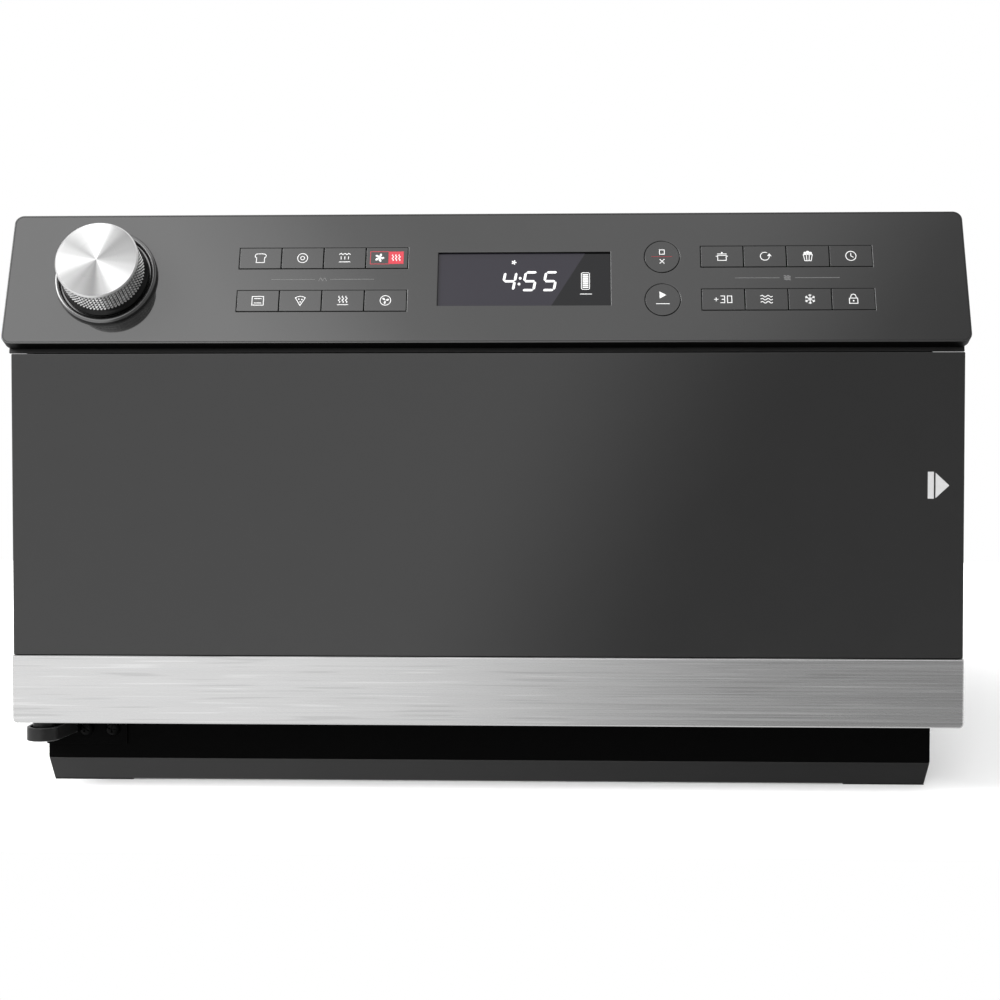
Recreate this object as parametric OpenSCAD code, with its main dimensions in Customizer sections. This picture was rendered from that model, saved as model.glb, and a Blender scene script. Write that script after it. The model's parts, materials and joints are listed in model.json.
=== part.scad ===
// Countertop combination oven: microwave, convection and grill in one cabinet.
// Millimetres, +Z up. The front faces -Y, and +X is to the right as seen from the front.
// The origin is on the counter, at the centre of the oven's outer box.

/* [Console] */
// How far the control panel reaches past the door on the latch side
console_over = 3.2; // [2.5:0.1:8]
// Height of the control panel along its slope
panel_h = 77.8; // [76:0.2:84]
// Lean of the control panel back from the vertical, in degrees
panel_tilt = 21.5; // [18:0.5:24]
// Depth of the rim around the control panel
panel_t = 7; // [6:0.5:8]
// Thickness of the control panel behind its glossy face
panel_skin = 3; // [2.5:0.5:3.5]
// Width of the rim around the control panel's back
panel_rim = 6; // [4:0.5:8]
// Radius of the control panel's corners
panel_corner_r = 5; // [2:0.5:8]
// Distance of the housing from the control panel's ends
housing_in = 2.6; // [2.2:0.2:8]
// Wall of the housing
housing_wall = 2.4; // [1.6:0.2:3]
// How far the housing's lip reaches back over the cabinet
housing_lip = 16; // [8:1:30]
// Space between the door's top and the control panel's lower edge
console_gap = 5.5; // [5.2:0.1:8]

/* [Keys] */
// Width of one rectangular key
key_w = 22.5; // [20:0.25:23]
// Height of one rectangular key
key_h = 12.25; // [10:0.25:14]
// Space between neighbouring keys in a row
key_gap = 0.6; // [0.4:0.1:1]
// Distance between the two rows of keys
key_row_pitch = 25.75; // [22:0.25:28]
// Height of the middle line of the keys and display, up the slope
key_mid_v = 37.85; // [36:0.25:40]
// Distance of the left group of keys from the display's middle
left_keys_gap = 109.4; // [105:0.2:115]
// Distance of the two round keys from the display's middle
round_keys_gap = 74.6; // [70:0.2:78]
// Distance of the right group of keys from the display's middle
right_keys_gap = 141.6; // [138:0.2:146]
// Radius of a round key
round_key_r = 9.3; // [8:0.1:10]
// Distance that a key travels when it is pressed
key_travel = 0.7; // [0.4:0.1:0.7]
// How far a key stands out of the panel
key_proud = 0.2; // [0.1:0.1:0.6]

/* [Display] */
// Width of the display window
display_w = 93.4; // [80:0.2:96]
// Height of the display window
display_h = 32.2; // [26:0.2:34]
// Middle of the display, from the panel's centre
display_u = 22.4; // [18:0.2:24]
// Depth of the display lens below the panel's face
display_recess = 1.4; // [0.6:0.1:1.8]

/* [Dial] */
// Distance of the dial's middle from the control panel's left end
dial_in = 54.4; // [48:0.2:60]
// Radius of the dial's metal cap
dial_cap_r = 22.6; // [20:0.1:24]
// Height of the dial above the panel's face
dial_h = 22.2; // [18:0.2:26]
// Thickness of the dial's metal cap
dial_cap_t = 2; // [1.5:0.1:3]
// Radius of the flange at the foot of the dial
dial_flange_r = 24; // [23.8:0.1:25]
// Radius of the trim ring around the dial
dial_ring_r = 28.3; // [27.6:0.1:30]
// Radius of the encoder's shaft
encoder_shaft_r = 3; // [2.5:0.1:3.5]

/* [Door] */
// How far the door reaches past the cabinet on the hinge side
door_over = 6.5; // [4:0.5:8]
// How far the door reaches past the cabinet on the latch side
door_over_latch = 8.5; // [4:0.5:10]
// Height of the door above the cooking space's ceiling
door_above = 13.4; // [12.6:0.2:20]
// Depth of the door's lower edge below the cooking space's floor
door_below = 14.6; // [13:0.2:16]
// Depth of the door
door_t = 40; // [40:0.5:41]
// Space between the back of the door and the cabinet's front
door_gap = 4; // [3.6:0.1:6]
// Height of the steel strip along the door's bottom
strip_h = 36.8; // [30:0.2:42]
// Thickness of the steel strip
strip_t = 0.8; // [0.6:0.1:1.2]
// Radius of the steel strip's corners
strip_corner_r = 2.4; // [1.6:0.1:4]
// Thickness of the door's outer glass
glass_t = 4; // [3:0.5:5]
// Thickness of the door's inner glass
inner_glass_t = 3; // [2:0.5:4]
// Wall of the door frame
door_wall = 2.4; // [2:0.2:3]
// Distance of the door's window from the cooking space's sides
window_side = 26; // [22:1:56]
// Distance of the door's window from the cooking space's floor and ceiling
window_end = 24; // [21:1:36]

/* [Hinge and latch] */
// Distance of the hinge axis from the door's left edge
hinge_in = 11.8; // [11:0.1:13]
// Distance of the hinge axis behind the door's front
hinge_back = 17; // [16:0.5:18]
// Radius of the hinge pins
hinge_pin_r = 4; // [3:0.25:4.5]
// Outer radius of the lower bracket's round end
hinge_cup_r = 9; // [8.5:0.25:10]
// Height of the lower bracket's rim
hinge_cup_h = 7.5; // [7:0.5:11]
// Distance of the latch hooks from the door's right edge
latch_in = 24.8; // [20:0.2:28]
// Upward travel of the latch
latch_travel = 4; // [2:0.5:5]

/* [Cabinet] */
// Space between the cooking space and the cabinet's left side
left_bay_w = 22.3; // [20:0.1:30]
// Space for the power parts between the cooking space and the cabinet's right side
right_bay_w = 122.3; // [118:0.1:140]
// Space for the fans behind the cooking space
rear_bay_d = 76; // [74:1:100]
// Thickness of the cabinet's sheet steel
sheet_t = 0.8; // [0.6:0.1:1.2]
// Thickness of the front frame
frame_t = 1; // [0.8:0.1:1.5]
// Radius of the cabinet's upper edges
case_corner_r = 5; // [3:0.5:10]
// Height of the plain front below the door
kick_h = 26.5; // [24:0.5:34]
// Height of the base pan's sloping skirt
skirt_h = 12.3; // [10:0.1:16]
// How far the skirt slopes inwards
skirt_in = 2.6; // [2:0.2:5]
// Wall of the base pan
pan_wall = 2; // [1.5:0.1:2.5]
// Height of the skirt's lower edge above the counter
foot_show = 0.6; // [0.4:0.1:2]
// Width of a foot
foot_w = 45; // [30:1:60]
// Depth of a foot
foot_d = 30; // [20:1:40]
// Depth of the wall spacers on the back
spacer_d = 8; // [6:0.5:12]

/* [Cooking space] */
// Inner height of the cooking space
cavity_h = 172; // [168:1:176]
// Thickness of the cooking space's sheet
cavity_t = 1; // [0.8:0.1:1.2]
// Radius of the glass turntable
plate_r = 150; // [140:1:160]
// Space between the turntable and the side walls
plate_side = 26; // [23:1:30]
// Space in front of and behind the turntable
plate_end = 25; // [23:1:30]
// Radius of a roller under the turntable
roller_r = 7; // [6:0.25:8]

/* [Heating and fans] */
// Radius of the convection fan
convection_fan_r = 54; // [48:1:58]
// Depth of the convection fan's blades
convection_blade_d = 20; // [14:1:24]
// Distance of the convection heater's ring from the fan
ring_heater_gap = 16; // [12:1:20]
// Radius of the cooling fan
cooling_fan_r = 44; // [38:1:46]
// Width of the grill's reflector less than the cooking space, on each side
reflector_in = 46; // [40:1:60]

/* [Hidden] */
$fn = 64;
// Clearances: sliding parts, running shafts, and parts that only pass each other
slide_gap = 0.3;
shaft_gap = 0.05;
pass_gap = 0.5;
fixing_gap = 0.2;

tilt_s = sin(panel_tilt);
tilt_c = cos(panel_tilt);

// Widths, outwards from the turntable
cavity_w = 2 * (plate_r + plate_side);
case_w = left_bay_w + cavity_w + right_bay_w;
case_half = case_w / 2;
door_left = -case_half - door_over;
door_right = case_half + door_over_latch;
console_w = 2 * (door_right + console_over);
housing_w = console_w - 2 * housing_in;
cavity_x = -case_half + left_bay_w + cavity_w / 2;
bay_x = case_half - right_bay_w / 2;

// Places on the control panel, from its centre and its lower edge
dial_u = -console_w / 2 + dial_in;
dial_v = panel_h / 2;
left_keys_u = display_u - left_keys_gap;
round_keys_u = display_u + round_keys_gap;
right_keys_u = display_u + right_keys_gap;

// Heights
door_h = door_below + cavity_h + door_above;
base_top = foot_show + skirt_h;
pan_floor = 4;
door_z = base_top + kick_h;
door_top = door_z + door_h;
panel_z = door_top + console_gap;
console_bottom = panel_z - panel_t * tilt_s;
lip_t = 2;
housing_top = panel_z + panel_h * tilt_c - panel_t * tilt_s - 0.5;
case_top = housing_top - lip_t;
cavity_z = door_z + door_below;
cavity_mid_z = cavity_z + cavity_h / 2;

// Depths, from the dial's front edge back to the wall spacers
cavity_d = 2 * (plate_r + plate_end);
case_d = cavity_d + rear_bay_d;
dial_reach = dial_h * tilt_c - (dial_v - dial_cap_r) * tilt_s;
full_d = dial_reach + door_t + door_gap + case_d + frame_t + spacer_d;
door_y = dial_reach - full_d / 2;
frame_y = door_y + door_t + door_gap;
case_back = frame_y + case_d;
cavity_y = frame_y + frame_t;
cavity_back = cavity_y + cavity_d;
turntable_y = cavity_y + cavity_d / 2;

// Door layers
glass_y = door_y + strip_t;
skin_y = glass_y + glass_t;
choke_y = door_y + door_t - 4;
choke_t = 2;
plug_out = 14;
hinge_x = door_left + hinge_in;
hinge_y = door_y + hinge_back;
hinge_boss_r = 8;
bushing_r = 5.8;
// The lower bracket's rim lies this far below the door's bushing
hinge_cup_drop = 3.9;
window_w = cavity_w - 2 * window_side;
window_h = cavity_h - 2 * window_end;
bracket_t = 1.6;
upper_bracket_z = console_bottom - 0.4 - bracket_t;

// Latch
latch_x = door_right - latch_in;
latch_bar_w = 8;
latch_bar_t = 5.6;
hook_t = 4;
hook_h = 6;
barb_h = 3;
hook_reach = 18;
hook_zs = [door_z + 42, door_z + door_h - 48];

// Console layers, measured outwards from the panel's face
board_top = -10;
board_t = 1.6;
switch_h = 3.1;
flange_t = 1.2;
key_pitch = key_w + key_gap;
window_h_keys = key_h + 2 * slide_gap;
upper_row_v = key_mid_v + key_row_pitch / 2;
lower_row_v = key_mid_v - key_row_pitch / 2;
post_us = [dial_u - 16.4, left_keys_u, display_u, right_keys_u + 42];
post_vs = [13, panel_h - 13.3];
bushing_len = 5;
shaft_top = 16;
cable_ports = [left_keys_u - 13, right_keys_u - 14];
cable_port_z = case_top - 34;

// Keys: name, distance from the panel's centre, height up the slope, and whether it is round
function key_row(names, u, v) =
    [for (i = [0:3]) [names[i], u + (i - 1.5) * key_pitch, v, false]];
KEYS = concat(
    key_row(["toast_key", "bagel_key", "broil_key", "air_fry_key"], left_keys_u, upper_row_v),
    key_row(["bake_key", "pizza_key", "warm_key", "convection_key"], left_keys_u, lower_row_v),
    [["stop_key", round_keys_u, upper_row_v, true], ["start_key", round_keys_u, lower_row_v, true]],
    key_row(["auto_cook_key", "reheat_key", "popcorn_key", "clock_key"], right_keys_u, upper_row_v),
    key_row(["add_30_key", "microwave_key", "defrost_key", "lock_key"], right_keys_u, lower_row_v));

// Turntable stack, upwards from the floor
roller_z = cavity_z + slide_gap + roller_r;
plate_z = roller_z + roller_r + slide_gap;
plate_t = 5;
plate_rim_h = 13;
roller_w = 6;
roller_pin_r = 2;
ring_r = plate_r - 55;
ring_half_w = 3.5;
roller_mid_r = ring_r + ring_half_w + 9;
stem_r = 3.5;
motor_h = 15;

// Heating and fans
ring_heater_r = convection_fan_r + ring_heater_gap;
outlet_x = ring_heater_r + 14;
bulge_w = 2 * (outlet_x + 21);
bulge_h = 2 * (ring_heater_r + 12);
bulge_d = convection_blade_d + 20;
reflector_w = cavity_w - 2 * reflector_in;
reflector_d = 130;
grill_slot_pitch = 18;
grill_slots = floor(reflector_w / grill_slot_pitch) - 1;
reflector_h = 24;
grill_tube_r = 4;
grill_cap_r = 6;
grill_tube_ys = [-35, 35];
heater_tube_r = 3.2;
fan_shaft_r = 3;
fan_gap = 8;
fan_bearing = 18;
small_shaft_r = 2.5;
duct_d = 24;
duct_w = 2 * cooling_fan_r + 12;
duct_x = case_half - 18 - duct_w / 2;
duct_z = cavity_mid_z + 10;

// Power parts beside the cooking space
guide_y = turntable_y - 26;
guide_z = cavity_mid_z;
guide_w = 90;
guide_h = 46;
guide_x = cavity_x + cavity_w / 2 + cavity_t;
guide_len = 32;
antenna_r = 9;

// Fasteners and gland
screw_r = 1.9;
screw_head_r = 4;
screw_head_h = 2.4;
screw_len = 9;
gland_x = bay_x;
gland_z = 40;
gland_r = 9;
gland_bore_r = 4;
spacer_x = case_half - 60;
spacer_z = case_top - 30;
spacer_r = 10;
back_screws = concat(
    [for (x = [-1, 1], z = [base_top + 12, case_top - 12]) [x * (case_half - 12), z]],
    [for (x = [-1, 1]) [x * (case_half - 12), (base_top + case_top) / 2]],
    [for (x = [-1, 1]) [x * case_half / 3, case_top - 12]]);
lower_hinge_screws = [hinge_x + 17, hinge_x + 32];
upper_hinge_screws = [hinge_x + 7, hinge_x + 27];
lower_screw_z = base_top + 17;
upper_screw_z = console_bottom + 11;

// ---- Shapes that repeat ----

// Extrudes an outline drawn in X and Z, from depth y over a length
module along_y(y, length) {
    translate([0, y + length, 0])
        rotate([90, 0, 0])
            linear_extrude(length) children();
}

// Extrudes an outline drawn in Y and Z, from x over a length
module along_x(x, length) {
    translate([x, 0, 0])
        rotate([90, 0, 90])
            linear_extrude(length) children();
}

// Places shapes on the control panel: x along it, y up its slope, z out of its face
module on_panel(u = 0, v = 0, w = 0) {
    translate([0, door_y, panel_z])
        rotate([90 - panel_tilt, 0, 0])
            translate([u, v, w]) children();
}

module box(low, high) {
    translate(low) cube(high - low);
}

// Box centred in x and y, standing on z
module block(w, d, h, z = 0) {
    translate([-w / 2, -d / 2, z]) cube([w, d, h]);
}

// Rectangle with round corners, centred
module round_rect(w, h, r) {
    square([w - 2 * r, h], center = true);
    square([w, h - 2 * r], center = true);
    for (x = [-1, 1], y = [-1, 1])
        translate([x * (w / 2 - r), y * (h / 2 - r)]) circle(r);
}

// Cylinder lying along +Y from depth y
module rod_y(x, y, z, r, length) {
    translate([x, y, z])
        rotate([-90, 0, 0]) cylinder(r = r, h = length);
}

// Cylinder lying along +X from x
module rod_x(x, y, z, r, length) {
    translate([x, y, z])
        rotate([0, 90, 0]) cylinder(r = r, h = length);
}

// Row of upright slots in X and Z, centred
module slot_row(count, pitch, w, h) {
    for (i = [0:count - 1])
        translate([(i - (count - 1) / 2) * pitch, 0]) square([w, h], center = true);
}

// The cabinet's outline in X and Z, drawn in by a wall
module case_outline(inset = 0) {
    r = case_corner_r - inset;
    w = case_half - inset;
    top = case_top - inset;
    translate([-w, base_top]) square([2 * w, top - r - base_top]);
    translate([-w + r, base_top]) square([2 * (w - r), top - base_top]);
    for (x = [-1, 1]) translate([x * (w - r), top - r]) circle(r);
}

// The door's outline in X and Z with small lower corners, drawn in by a wall
module door_outline(inset, bottom, top) {
    r = strip_corner_r - inset;
    left = door_left + inset;
    w = door_right - inset - left;
    translate([left, bottom + r]) square([w, top - bottom - r]);
    translate([left + r, bottom]) square([w - 2 * r, top - bottom]);
    for (x = [r, w - r]) translate([left + x, bottom + r]) circle(r);
}

// Pan-head screw with a cross recess; its shank points along -Z and its seat is at z = 0
module screw() {
    difference() {
        union() {
            cylinder(r = screw_head_r, h = screw_head_h);
            translate([0, 0, -screw_len]) cylinder(r = screw_r, h = screw_len);
        }
        block(4.4, 1, 2, screw_head_h - 1.4);
        block(1, 4.4, 2, screw_head_h - 1.4);
    }
}

// ---- Cabinet ----

module cabinet_wrap() {
    side_vent_z = cavity_mid_z;
    color("#161617")
        difference() {
            along_y(frame_y + frame_t, case_d - frame_t)
                difference() {
                    case_outline();
                    case_outline(sheet_t);
                    translate([-case_half + sheet_t, base_top - 1])
                        square([case_w - 2 * sheet_t, 10]);
                }
            // Air slots on both sides
            for (x = [-case_half - 1, case_half - 4], row = [-1, 1])
                along_x(x, 5)
                    translate([guide_y + 60, side_vent_z + row * 26]) slot_row(14, 9, 3, 36);
        }
}

// Tapered tray outline, drawn in by a wall, between two heights
module tray(inset, low, high) {
    x_low = case_half - inset - skirt_in;
    x_high = case_half - inset;
    intersection() {
        along_y(frame_y - 1, case_d + 2 + frame_t)
            polygon([[-x_high, base_top], [x_high, base_top], [x_low, foot_show], [-x_low, foot_show]]);
        along_x(-case_half, case_w)
            polygon([[frame_y + inset, base_top], [case_back + frame_t - inset, base_top],
                     [case_back + frame_t - inset - skirt_in, foot_show],
                     [frame_y + inset + skirt_in, foot_show]]);
        box([-case_half, frame_y, low], [case_half, case_back + frame_t, high]);
    }
}

module base_pan() {
    floor_top = pan_floor + 1.2;
    color("#1b1b1c")
        difference() {
            tray(0, foot_show, base_top);
            tray(pan_wall, foot_show, pan_floor);
            tray(pan_wall, floor_top, base_top);
            // Air slots in the floor
            translate([cavity_x, turntable_y, 0])
                linear_extrude(20) slot_row(9, 12, 4, 60);
            translate([bay_x, guide_y, 0])
                linear_extrude(20) slot_row(6, 12, 4, 60);
        }
}

module rear_panel() {
    color("#1a1a1b") {
        difference() {
            along_y(case_back, frame_t) case_outline();
            along_y(case_back - 1, frame_t + 2) {
                // Air slots behind the cooling fan and the convection motor
                translate([duct_x, duct_z]) slot_row(9, 9, 4, 70);
                translate([cavity_x, cavity_mid_z + 40]) slot_row(9, 9, 4, 24);
                translate([gland_x, gland_z]) circle(gland_r + fixing_gap);
                for (p = back_screws) translate(p) circle(screw_r + fixing_gap);
            }
            for (x = [-1, 1])
                rod_y(x * spacer_x, case_back - 1, spacer_z, spacer_r - sheet_t, frame_t + 2);
        }
        // Pressed cups that keep the back off the wall
        for (x = [-1, 1])
            difference() {
                rod_y(x * spacer_x, case_back, spacer_z, spacer_r, frame_t + spacer_d);
                rod_y(x * spacer_x, case_back - 1, spacer_z, spacer_r - sheet_t,
                      frame_t + spacer_d + 1 - sheet_t);
            }
    }
}

module front_frame() {
    slot_low = barb_h + pass_gap;
    slot_high = hook_h + latch_travel + pass_gap;
    color("#0e0e0f")
        difference() {
            along_y(frame_y, frame_t) case_outline();
            along_y(frame_y - 1, frame_t + 2) {
                translate([cavity_x - cavity_w / 2, cavity_z]) square([cavity_w, cavity_h]);
                // Slots for the latch hooks, wider on the side that the door swings to
                for (z = hook_zs)
                    translate([latch_x - hook_t / 2 - 0.8, z - slot_low])
                        square([hook_t + 3.4, slot_low + slot_high]);
                // Cable ports into the console
                for (x = cable_ports) translate([x, cable_port_z]) square([40, 16], center = true);
                for (x = lower_hinge_screws) translate([x, lower_screw_z]) circle(screw_r + fixing_gap);
                for (x = upper_hinge_screws) translate([x, upper_screw_z]) circle(screw_r + fixing_gap);
            }
        }
}

module oven_cavity() {
    w = cavity_w / 2;
    flange = 8;
    color("#8d8f91")
        difference() {
            union() {
                box([cavity_x - w - cavity_t, cavity_y, cavity_z - cavity_t],
                    [cavity_x + w + cavity_t, cavity_back + cavity_t, cavity_z + cavity_h + cavity_t]);
                // Flange welded to the front frame
                box([cavity_x - w - flange, cavity_y, cavity_z - flange],
                    [cavity_x + w + flange, cavity_y + cavity_t, cavity_z + cavity_h + flange]);
                // Bulge that holds the convection fan
                box([cavity_x - bulge_w / 2, cavity_back, cavity_mid_z - bulge_h / 2],
                    [cavity_x + bulge_w / 2, cavity_back + bulge_d + cavity_t,
                     cavity_mid_z + bulge_h / 2]);
                // Waveguide
                box([guide_x, guide_y - guide_w / 2, guide_z - guide_h / 2],
                    [guide_x + guide_len, guide_y + guide_w / 2, guide_z + guide_h / 2]);
            }
            box([cavity_x - w, cavity_y - 1, cavity_z], [cavity_x + w, cavity_back, cavity_z + cavity_h]);
            box([cavity_x - bulge_w / 2 + cavity_t, cavity_back + cavity_t,
                 cavity_mid_z - bulge_h / 2 + cavity_t],
                [cavity_x + bulge_w / 2 - cavity_t, cavity_back + bulge_d,
                 cavity_mid_z + bulge_h / 2 - cavity_t]);
            box([guide_x - 2, guide_y - guide_w / 2 + cavity_t, guide_z - guide_h / 2 + cavity_t],
                [guide_x + guide_len - cavity_t, guide_y + guide_w / 2 - cavity_t,
                 guide_z + guide_h / 2 - cavity_t]);
            rod_x(guide_x, guide_y, guide_z, antenna_r + 1, guide_len + 1);
            // Inlet holes in front of the convection fan, and outlet slots beside them
            for (ring = [0:3], i = [0:max(0, 6 * ring - 1)])
                rod_y(cavity_x + 11 * ring * cos(i * 60 / max(1, ring)), cavity_back - 1,
                      cavity_mid_z + 11 * ring * sin(i * 60 / max(1, ring)), 3, cavity_t + 2);
            for (x = [-1, 1])
                along_y(cavity_back - 1, cavity_t + 2)
                    translate([cavity_x + x * outlet_x, cavity_mid_z]) slot_row(3, 9, 4, 90);
            // Shaft hole and heater legs in the bulge's back
            rod_y(cavity_x, cavity_back + bulge_d - 1, cavity_mid_z, fan_shaft_r + 1.5, cavity_t + 2);
            for (x = [-12, 12])
                rod_y(cavity_x + x, cavity_back + bulge_d - 1, cavity_mid_z + ring_heater_r,
                      heater_tube_r + fixing_gap, cavity_t + 2);
            // Slots below the grill heater
            translate([cavity_x, turntable_y, cavity_z + cavity_h - 1])
                linear_extrude(cavity_t + 2)
                    slot_row(grill_slots, grill_slot_pitch, 7, reflector_d - 26);
            // Hole for the turntable's coupler
            translate([cavity_x, turntable_y, cavity_z - cavity_t - 1])
                cylinder(r = stem_r + 1.5, h = cavity_t + 2);
        }
}

module hinge_brackets() {
    cup_z = door_z - slide_gap - hinge_cup_drop - hinge_cup_h;
    // The tongue narrows from the cabinet to the round end around the pin
    tongue_x = hinge_x + 12;
    back_y = frame_y - bracket_t;
    color("#2a2a2b") {
        // Lower bracket
        difference() {
            union() {
                box([hinge_x - 6, back_y, lower_screw_z - 9], [hinge_x + 40, frame_y, lower_screw_z + 8]);
                translate([0, 0, cup_z]) linear_extrude(hinge_cup_h) {
                    translate([hinge_x, hinge_y]) circle(hinge_cup_r);
                    polygon([[hinge_x - hinge_cup_r, hinge_y], [hinge_x + hinge_cup_r, hinge_y],
                             [tongue_x, frame_y], [hinge_x - hinge_cup_r, frame_y]]);
                }
            }
            translate([0, 0, cup_z + 3]) linear_extrude(hinge_cup_h) {
                translate([hinge_x, hinge_y]) circle(hinge_cup_r - 1.6);
                polygon([[hinge_x - hinge_cup_r + 1.6, hinge_y], [hinge_x + hinge_cup_r - 1.6, hinge_y],
                         [tongue_x - 1.6, back_y], [hinge_x - hinge_cup_r + 1.6, back_y]]);
            }
            for (x = lower_hinge_screws)
                rod_y(x, back_y - 1, lower_screw_z, screw_r + fixing_gap, bracket_t + 2);
        }
        translate([hinge_x, hinge_y, cup_z + 2])
            cylinder(r = bushing_r, h = door_z - slide_gap - cup_z - 2);
        translate([hinge_x, hinge_y, cup_z + 2])
            cylinder(r = hinge_pin_r, h = door_z + 22 - cup_z - 2);
        // Upper bracket
        difference() {
            union() {
                translate([0, 0, upper_bracket_z]) linear_extrude(bracket_t) {
                    translate([hinge_x, hinge_y]) circle(hinge_boss_r);
                    polygon([[hinge_x - 4, hinge_y + 6], [hinge_x + hinge_boss_r, hinge_y],
                             [hinge_x + 34, frame_y], [hinge_x - 4, frame_y]]);
                }
                box([hinge_x - 4, back_y, upper_bracket_z], [hinge_x + 34, frame_y, upper_screw_z + 8]);
            }
            for (x = upper_hinge_screws)
                rod_y(x, back_y - 1, upper_screw_z, screw_r + fixing_gap, bracket_t + 2);
        }
        translate([hinge_x, hinge_y, door_top - 16])
            cylinder(r = hinge_pin_r, h = upper_bracket_z + 1 - door_top + 16);
    }
}

module feet() {
    x_out = case_half - skirt_in;
    y_front = frame_y + skirt_in;
    y_back = case_back + frame_t - skirt_in;
    wall = pan_wall + skirt_in + 1;
    color("#111112")
        for (x = [-1, 1], back = [0, 1]) {
            y0 = back ? y_back - foot_d : y_front;
            y_plug = back ? y0 : y0 + wall;
            mirror([x < 0 ? 1 : 0, 0, 0]) {
                box([x_out - foot_w, y0, 0], [x_out, y0 + foot_d, foot_show]);
                box([x_out - foot_w, y_plug, 0], [x_out - wall, y_plug + foot_d - wall, pan_floor]);
            }
        }
}

module screws() {
    color("#6d6f72") {
        for (p = back_screws)
            translate([p[0], case_back + frame_t, p[1]]) rotate([-90, 0, 0]) screw();
        for (x = lower_hinge_screws)
            translate([x, frame_y - bracket_t, lower_screw_z]) rotate([90, 0, 0]) screw();
        for (x = upper_hinge_screws)
            translate([x, frame_y - bracket_t, upper_screw_z]) rotate([90, 0, 0]) screw();
    }
}

module cord_gland() {
    outside = 4;
    inside = 5;
    color("#0c0c0d")
        difference() {
            union() {
                rod_y(gland_x, case_back + frame_t, gland_z, gland_r + 3, outside);
                rod_y(gland_x, case_back - inside, gland_z, gland_r, inside + frame_t);
                rod_y(gland_x, case_back - inside, gland_z, gland_r + 2, inside);
            }
            rod_y(gland_x, case_back - inside - 1, gland_z, gland_bore_r, outside + inside + frame_t + 2);
        }
}

// ---- Console ----

module console_housing() {
    // Point on the plane of the panel's back at a height
    function back_plane_y(z) = door_y + panel_t / tilt_c + (z - panel_z) * tilt_s / tilt_c;
    front_y = back_plane_y(console_bottom);
    valance_t = 2;
    color("#0d0d0e")
        difference() {
            // The front edge drops to the door as a thin valance
            along_x(-housing_w / 2, housing_w)
                polygon([[front_y, door_top + pass_gap], [front_y + valance_t, door_top + pass_gap],
                         [front_y + valance_t, console_bottom], [frame_y, console_bottom],
                         [frame_y, case_top], [frame_y + housing_lip, case_top],
                         [frame_y + housing_lip, housing_top], [back_plane_y(housing_top), housing_top]]);
            along_x(-housing_w / 2 + housing_wall, housing_w - 2 * housing_wall)
                polygon([[door_y - 50, console_bottom + housing_wall],
                         [frame_y - housing_wall, console_bottom + housing_wall],
                         [frame_y - housing_wall, housing_top - housing_wall],
                         [door_y - 50, housing_top - housing_wall]]);
            // Cable ports
            for (x = cable_ports)
                translate([x - 20, frame_y - housing_wall - 1, cable_port_z - 8])
                    cube([40, housing_wall + 2, 16]);
            // Notch for the upper hinge bracket
            box([hinge_x - 4 - pass_gap, frame_y - housing_wall - 1, console_bottom - 1],
                [hinge_x + 34 + pass_gap, frame_y + 1, upper_screw_z + 8 + pass_gap]);
        }
}

module control_panel() {
    color("#2b2b2c")
        on_panel()
            difference() {
                union() {
                    difference() {
                        translate([0, panel_h / 2, -panel_t])
                            linear_extrude(panel_t) round_rect(console_w, panel_h, panel_corner_r);
                        translate([0, panel_h / 2, -panel_t - 1])
                            linear_extrude(panel_t - panel_skin + 1)
                                square([console_w - 2 * panel_rim, panel_h - 2 * panel_rim], center = true);
                    }
                    // Posts that carry the control board, with pegs through it
                    for (u = post_us, v = post_vs) {
                        translate([u, v, board_top]) cylinder(r = 3, h = -board_top - panel_skin / 2);
                        translate([u, v, board_top - board_t - 1]) cylinder(r = 1.4, h = board_t + 2);
                    }
                }
                translate([0, 0, -panel_skin - 1]) linear_extrude(panel_skin + 2) {
                    for (u = [left_keys_u, right_keys_u], v = [upper_row_v, lower_row_v])
                        translate([u, v])
                            square([4 * key_pitch, window_h_keys], center = true);
                    for (v = [upper_row_v, lower_row_v])
                        translate([round_keys_u, v]) circle(round_key_r + slide_gap);
                    translate([display_u, key_mid_v]) square([display_w, display_h], center = true);
                    translate([dial_u, dial_v]) circle(encoder_shaft_r + 1.8);
                }
            }
}

module display_lens() {
    edge = 2;
    color("#333338")
        on_panel(display_u, key_mid_v) {
            block(display_w, display_h, panel_skin - display_recess, -panel_skin);
            block(display_w + 2 * edge, display_h + 2 * edge, 1, -panel_skin - 1);
        }
}

module control_board() {
    left = post_us[0] - 8;
    right = post_us[3] + 8;
    low = post_vs[0] - 5;
    high = post_vs[1] + 5;
    color("#1f6b3a")
        on_panel()
            difference() {
                union() {
                    box([left, low, board_top - board_t], [right, high, board_top]);
                    // Switch under each key
                    for (k = KEYS) translate([k[1], k[2], board_top]) block(6, 6, switch_h);
                    // Display module behind the lens
                    translate([display_u, key_mid_v, board_top])
                        block(display_w - 4, display_h - 4, -board_top - panel_skin - 1);
                    // Encoder under the dial
                    translate([dial_u, dial_v, board_top])
                        block(13, 13, -board_top - panel_skin - slide_gap);
                    translate([dial_u, dial_v, board_top])
                        cylinder(r = encoder_shaft_r + 1.4, h = -board_top + bushing_len);
                }
                for (u = post_us, v = post_vs)
                    translate([u, v, board_top - board_t - 1])
                        cylinder(r = 1.4 + fixing_gap, h = board_t + 2);
                translate([dial_u, dial_v, board_top + 1])
                    cylinder(r = encoder_shaft_r + shaft_gap, h = -board_top + bushing_len);
            }
}

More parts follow.
